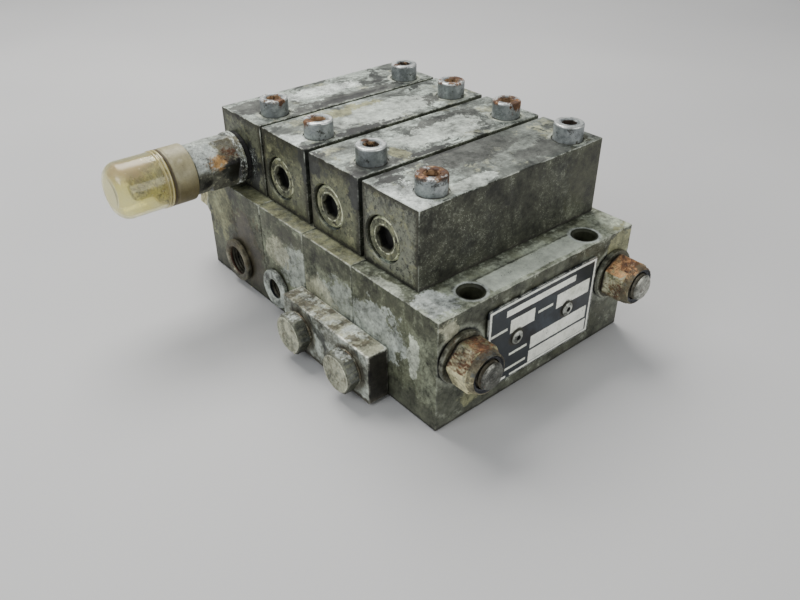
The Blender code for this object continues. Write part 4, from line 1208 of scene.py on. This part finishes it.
def bar_finish(node):
    tones = ((0.26, 0.265, 0.24), (0.40, 0.41, 0.38), (0.13, 0.125, 0.10))
    look = aged_zinc(node, "steel", 21.0, *tones)
    low = look.box[0]
    top = look.turned_to(UP)
    look.stain("cream", top, 0.95)
    look.stain("chalk", top, look.mottle(110, 0.46, 0.56), 0.85)
    for y, width in BAR_GRIME:
        strip = look.slab(mm(-70, y - width, 24), mm(-57, y + width, 27), 1.6 * MM, scale=170)
        look.stain("umber", top, strip, look.mottle(240, 0.40, 0.52), 0.85)
    outer = look.turned_to(LEFT)
    look.stain("frost", outer, look.mottle(90, 0.44, 0.58), 0.8)
    look.stain("shade", outer, look.mottle(70, 0.52, 0.62, distortion=0.5))
    for number in (1, 2):
        centre = middle(f"hollow_bolt_{number}")
        halo = look.ring(centre, "X", 11.6, 9.8, 0.8)
        look.stain("umber", outer, halo, 0.7)
    # Painted shade: the front face is painted near black, and the bottom darker.
    look.coat(look.turned_to(FRONT), (0.028, 0.026, 0.022), 0.45, 0.3)
    foot = look.fade("Z", low.z, 3, 1.5, 0.8)
    look.coat(foot, (0.06, 0.055, 0.045), 0.6, 0.2)
    worn_and_highlit_edges(look, (0.62, 0.63, 0.61), 1.2 * MM)
    look.raise_by(look.noise(700, 5, 0.7), 0.10 * MM)
    return grained(look, 0.05 * MM)


def make_link_bar():
    low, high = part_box("link_bar")
    bar = piece("link_bar", block_shape(low, high, 3 * MM, 0.45 * MM, 0.05 * MM, 3.0))
    tools = []
    for number in (1, 2):
        centre = middle(f"hollow_bolt_{number}")
        start = at_x(high.x + MM, centre)
        steps = ((8.6, 0), (8.6, 2.2), (6.4, 2.2), (6.4, 12))
        tools.append(hole(start, LEFT, *steps))
    cut(bar, *tools)
    corrode(bar, 0.4 * MM, 0.10 * MM, 260, 5.0)
    settle(bar, bar_finish("link_bar"), "bar_steel", "link_bar")


def bolt_finish(number, centre, face):
    look = Finish(f"hollow_bolt_{number}_steel", (0.24, 0.25, 0.22), 0.6, 0.4, number * 4.4)
    look.coat(look.mottle(260, 0.46, 0.58), (0.36, 0.36, 0.31), 0.7, 0.1)
    look.stain("shade", look.mottle(330, 0.54, 0.62, 9, 0.78))
    out = look.from_axis(centre, "X")
    end = look.both(look.turned_to(LEFT, 0.8), look.band(out, 8.6 * MM, 8.2 * MM))
    look.stain("cream", end, 0.2)
    look.stain("cream", end, look.mottle(420, 0.42, 0.56, 8, 0.78), 0.75)
    look.stain("umber", end, look.mottle(300, 0.54, 0.62, 9, 0.78, distortion=0.6), 0.8)
    side = look.fade("X", face, 0.7, 1.5)
    streaks = look.mottle(800, 0.40, 0.56, 4, 0.6, stretch=(0.12, 1, 1))
    around = look.calc("SUBTRACT", 1.0, end)
    look.stain("drip", around, 0.55)
    look.stain("shade", side, around, streaks)
    look.stain("chalk", side, look.turned_to(UP, 0.6), look.mottle(210, 0.46, 0.56, 8), 0.7)
    # Painted shade on the downward faces of the head.
    look.stain("drip", side, look.turned_to(-UP, 0.1))
    lip = look.both(look.band(out, 7.7 * MM, 8.1 * MM), look.mottle(300, 0.42, 0.54, 8))
    look.coat((lip, end), (0.60, 0.60, 0.52), 0.6, 0.1)
    look.raise_by(look.noise(900, 5, 0.7), 0.12 * MM)
    look.raise_by(look.both(side, streaks), 0.10 * MM)
    return grained(look, 0.05 * MM)


def copper_finish(name, seed):
    look = Finish(name, (0.16, 0.14, 0.11), 0.5, 0.4, seed)
    look.stain("lime", look.mottle(260, 0.50, 0.60, 8), 0.7)
    look.coat(look.mottle(330, 0.62, 0.68, 7, 0.75, distortion=0.4), (0.26, 0.12, 0.06), 0.35, 0.8)
    look.stain("umber", look.mottle(420, 0.52, 0.60, 6, 0.75))
    return grained(look)


def make_hollow_bolts():
    for number in (1, 2):
        node = f"hollow_bolt_{number}"
        low, _, axis = extent(node)
        station = axis_matrix(at_x(PORT_FACE, axis), LEFT)
        shank = in_mm((0, -11.5), (5.2, -11.5), (6, -10.7), (6, 14.0), (0, 14.0))
        bolt = piece(node, spin(shank), station)
        at = at_x(PORT_FACE - 12.2 * MM, axis)
        head = solid("head", prism(17 * MM, 5.9 * MM, math.radians(90), 0.2 * MM), axis_matrix(at, LEFT))
        dome = spin(
            in_mm((0, 0), (9.1, 0), (9.82, 0.5), (9.82, 4.7), (9.4, 5.15), (8.35, 5.82), (8.1, 5.9), (0, 5.9))
        )
        combine(head, ("INTERSECT", solid("dome", dome, axis_matrix(at, LEFT))))
        across = Vector((PORT_FACE - 5.6 * MM, axis.y - 7 * MM, axis.z))
        bore = hole(at_x(PORT_FACE + 12.5 * MM, axis), LEFT, (2.7, 0), (2.7, 20.45))
        combine(bolt, ("UNION", head))
        cut(bolt, bore)
        cut(bolt, hole(across, REAR, (2, 0), (2, 14), sides=24))
        corrode(bolt, 0.25 * MM, 0.10 * MM, 300, number * 2.0)
        settle(bolt, bolt_finish(number, axis, low.x), "bolt_steel", node)
        for place in ("outer", "inner"):
            ring = f"bolt_seal_{place}_{number}"
            first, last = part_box(ring)
            radius = (last.y - first.y) / 2
            outline = rounded([(6.4 * MM, 0), (radius, 0), (radius, MM), (6.4 * MM, MM)], 0.35 * MM)
            washer = revolve(ring, outline, at_x(last.x, axis), LEFT)
            settle(washer, copper_finish(f"{ring}_copper", number * 2.2), "copper", ring)


# Colours of each port seat: plain, lighter mottling, and the lip of its bore.
SEAT_TONES = {
    3: ((0.25, 0.265, 0.265), (0.38, 0.40, 0.41), (0.50, 0.52, 0.51)),
    4: ((0.13, 0.125, 0.095), (0.20, 0.19, 0.15), (0.20, 0.185, 0.15)),
}


def seat_finish(number, centre, bore):
    plain, light, bright = SEAT_TONES[number]
    look = Finish(f"port_seat_{number}_steel", plain, 0.42, 0.6, number * 3.7)
    look.coat(look.mottle(180, 0.48, 0.58), light, 0.46, 0.5)
    look.stain("shade", look.mottle(240, 0.52, 0.60, 9, 0.78, distortion=0.4))
    out = look.from_axis(centre, "X")
    face = look.turned_to(LEFT)
    rings = look.band(look.waves(out, 0.55 * MM), -0.4, 0.6)
    look.raise_by(look.both(face, rings), 0.02 * MM)
    lip = look.both(look.band(out, bore + 1.5 * MM, bore + MM), look.mottle(260, 0.38, 0.5, 5, 0.6))
    look.coat(lip, bright, 0.38, 0.6)
    # Painted shade inside the bore: near black in port 3, reddish-brown in port 4.
    inside = look.band(out, bore + 0.35 * MM, bore + 0.1 * MM)
    if number == 4:
        look.coat(inside, (0.075, 0.035, 0.026), 0.5, 0.3)
        look.stain("umber", face, look.mottle(150, 0.50, 0.58, 7, 0.7))
        look.stain("umber", look.slab(centre + mm(-20, -12, 1), centre + mm(20, 14, 14)), 0.6)
    else:
        look.coat(inside, (0.012, 0.014, 0.024), 0.5, 0.2)
        look.stain("frost", face, look.mottle(90, 0.42, 0.54, 6, 0.7), 0.7)
    # Painted shade at the foot of the collar, against the port face.
    edge = look.fade("X", PORT_FACE, -1.2, -0.5, 0.2)
    look.coat(edge, (0.07, 0.065, 0.05), 0.5, 0.3)
    return grained(look)


def make_port_seats():
    for number, bore, shank, collar in ((3, 4.8, 7.0, 9.9), (4, 7.2, 9.0, 11.0)):
        node = f"port_seat_{number}"
        axis = middle(node)
        station = axis_matrix(at_x(PORT_FACE, axis), LEFT)
        outline = in_mm(
            (bore - 0.3, -11), (shank - 0.6, -11), (shank, -10.4), (shank, 0.3), (collar - 0.25, 0.3),
            (collar, 0.55), (collar, 1.9), (collar - 0.2, 2.35), (collar - 0.7, 2.65),
            (collar - 1.1, 2.7), (bore - 0.3, 2.7),
        )
        seat = piece(node, spin(outline), station)
        ridge = thread(1.5 * MM, 0.45 * MM, -12 * MM, 1.6 * MM)
        bore_line = [(0, -12 * MM)] + [(bore * MM, height * MM) for height in steps_between(-12, 1.8, 0.25)]
        bore_line += in_mm((bore + 0.45, 2.3), (bore + 0.9, 2.75), (bore + 0.9, 4), (0, 4))
        tap = spin(bore_line, ROUND, 0.02, lambda angle, height: -ridge(angle, height))
        cut(seat, solid("cutter", tap, station))
        settle(seat, seat_finish(number, axis, bore * MM), "seat_steel", node)


# ---------------------------------------------------------------- tie rods

# Angle of one corner of each tie-rod nut about its axis.
NUT_PHASES = {
    "front_left": math.radians(-38),
    "front_right": math.radians(-63),
    "rear_left": math.radians(142),
    "rear_right": math.radians(117),
}


def rod_finish(side, ends):
    tone = 0.10 if side == "left" else 0.27
    look = Finish(f"tie_rod_{side}_steel", (tone, tone, 0.97 * tone), 0.38, 0.8, 3.0 + len(side))
    look.coat(look.mottle(200, 0.50, 0.58, 8, 0.75), (2 * tone, 2 * tone, 2 * tone), 0.36, 0.8)
    look.stain("shade", look.mottle(420, 0.54, 0.60, 8, 0.78))
    look.rust(look.mottle(160, 0.60, 0.66, 8, 0.75), 0.2)
    out = look.from_axis(middle(f"tie_rod_{side}"), "Y")
    rings = look.waves(out, 1.3 * MM)
    groove = look.both(look.band(rings, 0.5, 1.0), look.mottle(260, 0.44, 0.60, 6, 0.7))
    look.coat(groove, (0.5 * tone, 0.5 * tone, 0.48 * tone), 0.4, 0.6)
    look.raise_by(rings, 0.025 * MM)
    low, high = ends
    flanks = look.slab((-1, low + 0.9 * MM, -1), (1, high - 0.9 * MM, 1), 0)
    look.stain("umber", flanks, 0.75)
    return grained(look, 0.04 * MM)


def make_tie_rods():
    for side in SIDES:
        node = f"tie_rod_{side}"
        low, high, axis = extent(node)
        length = (high.y - low.y) / MM
        outline = in_mm((0, 0.25), (3.0, 0.12), (4.9, 0), (5.3, 0.1), (6, 0.8))
        outline += [(6 * MM, height * MM) for height in steps_between(1.0, 24.0, 0.3)]
        outline += [(6 * MM, height * MM) for height in steps_between(length - 24.0, length - 1.0, 0.3)]
        outline += in_mm(
            (6, length - 0.8), (5.3, length - 0.1), (4.9, length), (3, length - 0.12),
            (0, length - 0.25),
        )
        near = thread(1.75 * MM, 0.75 * MM, 0.4 * MM, 23.0 * MM)
        far = thread(1.75 * MM, 0.75 * MM, (length - 23.0) * MM, (length - 0.4) * MM)
        shape = spin(outline, 48, 0, lambda angle, height: near(angle, height) + far(angle, height))
        rod = piece(node, shape, axis_matrix(Vector((axis.x, low.y, axis.z)), REAR))
        settle(rod, rod_finish(side, (low.y, high.y)), "rod_steel", node)


def nut_finish(node, centre, face, outward):
    """Rusty nut: face is the y of its outer end, and outward is the way that end faces."""

    def beyond(first, last):
        """An edge between two distances from the outer end, in millimetres."""
        return look.fade("Y", face, -outward * first, -outward * last)

    look = Finish(f"{node}_steel", (0.32, 0.27, 0.15), 0.48, 0.2, 11 + 7 * len(node))
    look.stain("straw", look.mottle(120, 0.46, 0.58), 0.8)
    side = look.turned_to(LEFT, 0.35)
    look.stain("cream", side, look.mottle(150, 0.40, 0.54), 0.85)
    look.stain("olive", side, look.mottle(240, 0.50, 0.60))
    up = look.turned_to(UP, 0.5)
    if "left" in node:
        look.rust(look.both(up, look.mottle(110, 0.40, 0.54, 8, 0.75)), 0.5)
        look.rust(look.mottle(130, 0.55, 0.62), 1.0)
        lower = look.turned_to((LEFT - UP * 0.3).normalized(), 0.62)
        look.coat((lower, look.mottle(180, 0.30, 0.48)), (0.56, 0.52, 0.34), 0.6, 0.1)
        look.stain("olive", lower, look.mottle(260, 0.55, 0.62), 0.8)
    else:
        look.coat((up, look.mottle(150, 0.36, 0.50, 8, 0.75)), (0.55, 0.30, 0.14), 0.7, 0.0)
        look.rust(look.mottle(130, 0.46, 0.56), 0.6)
        # Painted shade: the downward faces are painted umber.
        look.stain("umber", look.turned_to(-UP, 0.0), 0.8)
    crown = beyond(3.4, 3.0)
    look.stain("umber", crown, look.mottle(200, 0.38, 0.50), 0.85)
    look.stain("shade", crown, look.mottle(240, 0.52, 0.60))
    look.coat((look.ring(centre, "Y", 8.1, 7.8), beyond(2.2, 1.0)), (0.012, 0.014, 0.022), 0.42, 0.0)
    # Painted shade at the inner end, where the nut meets its washer.
    look.coat(beyond(11.6, 12.6), (0.03, 0.025, 0.02), 0.6, 0.2)
    look.raise_by(look.noise(900, 5, 0.7), 0.16 * MM)
    return grained(look, 0.06 * MM, 0.50)


def washer_finish(node, centre):
    look = Finish(f"{node}_steel", (0.085, 0.082, 0.062), 0.55, 0.45, 5 + 3 * len(node))
    look.coat(look.mottle(150, 0.50, 0.60), (0.18, 0.18, 0.145), 0.6, 0.3)
    look.rust(look.mottle(180, 0.58, 0.64), 0.3)
    out = look.from_axis(centre, "Y")
    rim = look.edge(out, 10.6 * MM, 11.1 * MM, 0.2 * MM)
    look.coat((rim, look.mottle(70, 0.46, 0.58, 6, 0.6)), (0.36, 0.37, 0.33), 0.5, 0.4)
    look.stain("umber", look.edge(out, 9.9 * MM, 9.2 * MM, 0.3 * MM))
    return grained(look, 0.05 * MM, 0.50)


def make_tie_ends():
    for end, outward in (("front", FRONT), ("rear", REAR)):
        for side in SIDES:
            node = f"tie_washer_{end}_{side}"
            low, high, centre = extent(node)
            ring = rounded(in_mm((6.4, 0), (11.5, 0), (11.5, 2.2), (6.4, 2.2)), 0.5 * MM)
            washer = revolve(node, ring, Vector((centre.x, low.y, centre.z)), REAR)
            settle(washer, washer_finish(node, centre), "washer_steel", node)
            node = f"tie_nut_{end}_{side}"
            low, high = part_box(node)
            seat = low.y if outward.y > 0 else high.y
            station = axis_matrix(Vector((centre.x, seat, centre.z)), outward)
            phase = NUT_PHASES[f"{end}_{side}"]
            nut = piece(node, prism(19 * MM, 9.8 * MM, phase, 0.9 * MM), station)
            dome = in_mm((0, 0), (9.6, 0), (10.97, 0.8), (10.97, 8.6), (10.3, 9.3), (9.4, 9.8), (0, 9.8))
            crown = in_mm(
                (0, 1), (9.0, 1), (9.0, 9.8), (9.25, 10.0), (9.2, 10.5), (8.9, 11.4), (8.75, 12.3),
                (8.5, 12.8), (8.1, 13.0), (7.75, 12.95), (7.6, 12.75), (7.55, 12.35), (7.2, 12.3),
                (0, 12.3),
            )
            combine(nut, ("INTERSECT", solid("dome", spin(dome), station)))
            start = Vector((centre.x, seat, centre.z)) - outward * MM
            bore = hole(start, outward, (6.3, 0), (6.3, 16))
            combine(nut, ("UNION", solid("crown", spin(crown), station)), ("DIFFERENCE", bore))
            corrode(nut, 0.3 * MM, 0.26 * MM, 320, 2.0 + len(node) + len(side))
            face = seat + outward.y * 13 * MM
            settle(nut, nut_finish(node, centre, face, outward.y), "rusty_steel", node)


# ---------------------------------------------------------------- nameplate

# The nameplate's blank white fields, its heading bar and the dashes beside the fields, each as
# (left, bottom, right, top) in millimetres of the row frame.
FIELDS = ((-19.2, 30.5, -4.8, 37), (9, 30, 30, 37), (-5.7, 16.5, 30.2, 22.8), (-6.2, 9.5, 30.9, 15.4))
HEADING = (-22, 39.6, 20, 42.6)
DASHES = (
    (-30.4, 33.0, -21, 34.2), (-2.6, 33.0, 6.6, 34.2), (-18.6, 19.2, -8, 20.4), (-20.6, 12.0, -8, 13.2),
)


def printed(look, *areas):
    """1 over the printed areas of the plate's front."""
    masks = [
        look.slab(mm(left, -12, bottom), mm(right, -4, top), 0.12 * MM, 0.15 * MM, 900)
        for left, bottom, right, top in areas
    ]
    return look.both(look.either(*masks), look.turned_to(FRONT, 0.8))


def plate_finish(low, high):
    look = Finish("nameplate_print", (0.022, 0.027, 0.036), 0.36, 0.1, 12.0)
    look.coat(look.mottle(60, 0.50, 0.66, 9, 0.74), (0.045, 0.056, 0.076), 0.45, 0.1)
    look.coat(look.mottle(40, 0.52, 0.64, 5, 0.6), (0.010, 0.011, 0.014), 0.35, 0.1)
    x1, z1, x2, z2 = (v / MM for v in (low.x, low.z, high.x, high.z))
    outer = printed(look, (x1 + 0.8, z1 + 0.8, x2 - 0.8, z2 - 0.8))
    inner = printed(look, (x1 + 1.9, z1 + 1.9, x2 - 1.9, z2 - 1.9))
    gap = printed(look, (-19.8, z1, -17.4, z1 + 3))
    border = look.both(outer, look.calc("SUBTRACT", 1.0, look.either(inner, gap)))
    white, grimy = (0.95, 0.96, 0.96), (0.72, 0.74, 0.70)
    worn = look.mottle(420, 0.30, 0.40, 6, 0.72)
    look.coat((border, worn), white, 0.5, 0.0)
    fields = printed(look, *FIELDS)
    look.coat((fields, worn), white, 0.5, 0.0)
    look.coat((fields, look.mottle(120, 0.50, 0.66, 8, 0.75)), grimy, 0.6, 0.0)
    look.coat((fields, look.mottle(420, 0.60, 0.68, 8)), (0.20, 0.195, 0.17), 0.6, 0.0)
    look.coat((printed(look, HEADING), worn), white, 0.5, 0.0)
    look.coat((printed(look, *DASHES), worn), (0.85, 0.87, 0.84), 0.5, 0.0)
    rim = look.box_edges(low, high, 0.6 * MM)
    look.coat((rim, look.mottle(300, 0.44, 0.54, 5, 0.6)), (0.50, 0.51, 0.52), 0.4, 0.8)
    for side in SIDES:
        centre = middle(f"plate_rivet_{side}")
        # Darker round each rivet.
        round_rivet = look.ring(centre, "Y", 4.8, 3.8, 0.5)
        look.coat(round_rivet, (0.05, 0.048, 0.042), 0.6, 0.1)
    look.raise_by(look.both(fields, worn), 0.02 * MM)
    return grained(look, 0.015 * MM, 0.62, 1.6)


def make_nameplate():
    low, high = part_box("nameplate")
    corner = 1.6 * MM
    shape = bmesh.new()
    outline = []
    for step in range(4):
        x = (low.x + corner, high.x - corner)[step in (0, 3)]
        z = (low.z + corner, high.z - corner)[step in (0, 1)]
        for turn in range(7):
            angle = math.radians(90 * step + 15 * turn)
            outline.append((x + corner * math.cos(angle), high.y, z + corner * math.sin(angle)))
    base = shape.faces.new([shape.verts.new(point) for point in outline])
    top = bmesh.ops.extrude_face_region(shape, geom=[base])
    raised = [item for item in top["geom"] if isinstance(item, bmesh.types.BMVert)]
    bmesh.ops.translate(shape, vec=FRONT * (high.y - low.y), verts=raised)
    bmesh.ops.recalc_face_normals(shape, faces=shape.faces)
    cut_up(shape, low, high, 3 * MM, (0, 2))
    sharp = [e for e in shape.edges if e.calc_face_angle(0) > 1.0]
    bmesh.ops.bevel(shape, geom=sharp, offset=0.12 * MM, segments=2, profile=0.5, affect="EDGES")
    centre = (low + high) / 2
    for vert in shape.verts:
        across = abs(vert.co.x - centre.x) / (high.x - centre.x)
        vert.co.y -= 0.22 * MM * across**4 + 0.05 * MM * noise.noise(vert.co * 60)
    plate = piece("nameplate", shape)
    settle(plate, plate_finish(low, high), "plate_print", "nameplate")


def make_rivets():
    for side in SIDES:
        node = f"plate_rivet_{side}"
        _, high, axis = extent(node)
        outline = in_mm(
            (0, 0), (1.3, 0), (1.3, 6.0), (3.2, 6.0), (3.3, 6.15), (3.2, 6.45), (2.75, 6.85),
            (2.1, 7.1), (1.4, 7.2), (1.05, 7.1), (0.9, 6.7), (0.85, 6.3), (0, 6.2),
        )
        rivet = revolve(node, outline, Vector((axis.x, high.y, axis.z)), FRONT, 48)
        look = Finish(f"{node}_aluminium", (0.36, 0.37, 0.37), 0.42, 0.7, 2.0 + len(side))
        look.coat(look.mottle(330, 0.48, 0.56, 6, 0.7), (0.50, 0.51, 0.51), 0.5, 0.5)
        look.stain("shade", look.mottle(420, 0.54, 0.60, 6, 0.72))
        out = look.from_axis(axis, "Y")
        # Painted shade in the rivet's centre hole and round the rim of its head.
        look.coat(look.edge(out, 1.35 * MM, 1.1 * MM, 0.1 * MM, 500), (0.014, 0.014, 0.014), 0.5, 0.2)
        look.coat(look.edge(out, 2.95 * MM, 3.2 * MM, 0.1 * MM, 500), (0.06, 0.058, 0.05), 0.6, 0.2)
        settle(rivet, grained(look), "rivet_aluminium", node)


# ---------------------------------------------------------------- inside


def steel_finish(name, colour, seed):
    look = Finish(name, colour, 0.22, 1.0, seed)
    look.coat(look.mottle(200, 0.45, 0.62, 5, 0.6), tuple(0.75 * c for c in colour), 0.34, 1.0)
    look.raise_by(look.noise(1800, 2, 0.5, stretch=(3, 1, 1)), 0.01 * MM)
    return look.done()


def rubber_finish(name, seed):
    look = Finish(name, (0.014, 0.014, 0.014), 0.7, 0.0, seed)
    look.coat(look.mottle(420, 0.52, 0.62, 5, 0.7), (0.05, 0.048, 0.042), 0.8, 0.0)
    look.raise_by(look.noise(1500, 3, 0.6), 0.02 * MM)
    return look.done()


def make_springs():
    """Coils along the spring nodes' boxes.

    The relief spring is made as two halves, one from each end, that meet in the middle.
    """
    wire = steel_finish("spring_wire", (0.33, 0.34, 0.35), 2.0)

    def make_spring(name, node, sizes, start, end, half=False):
        radius, thickness, turns = sizes
        length = (end - start).length
        shape = coil(radius * MM, thickness * MM, turns, length, half)
        made = solid(name, shape, axis_matrix(start, (end - start).normalized()))
        settle(made, wire, "spring_steel", node)
        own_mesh(made)

    for number in (1, 2, 3):
        node = f"spool_spring_{number}"
        low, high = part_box(node)
        far = middle(node)
        start, end = at_x(low.x, far), at_x(high.x, far)
        make_spring(f"{node}_detailed", node, (4.0, 0.55, 6), start, end)
    low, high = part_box("relief_spring")
    centre = middle("relief_spring")
    halves = (("outer", "adjuster_travel", 3.0, low.x), ("inner", "relief_lift", 2.0, high.x))
    for place, joint, travel, x in halves:
        start = at_x(x, centre)
        name = f"relief_spring_{place}_detailed"
        make_spring(name, "relief_spring", (3.0, 0.45, 3.5), start, centre, half=True)


def finish_inner_nodes():
    """Materials for the CAD nodes that are shown as they are."""
    polished = steel_finish("polished_steel", (0.56, 0.57, 0.58), 1.0)
    rubber = rubber_finish("seal_rubber_aged", 3.0)
    materials = {f"spool_{n}": polished for n in (1, 2, 3)}
    materials.update({"relief_poppet": polished, "spring_seat": polished, "cartridge_seal": rubber})
    materials.update({f"section_seal_{n}": rubber for n in (2, 3, 4)})
    for node, material in materials.items():
        data = frame["nodes"][node].data
        for index in range(len(data.materials)):
            data.materials[index] = material


make_camera()
make_stage()
make_base()
make_blocks()
make_cap_screws()
make_bore_plugs()
make_cartridge_body()
make_collar()
make_cap()
make_adjuster()
make_lock_nut()
make_link_bar()
make_hollow_bolts()
make_port_seats()
make_tie_rods()
make_tie_ends()
make_nameplate()
make_rivets()
make_springs()
finish_inner_nodes()
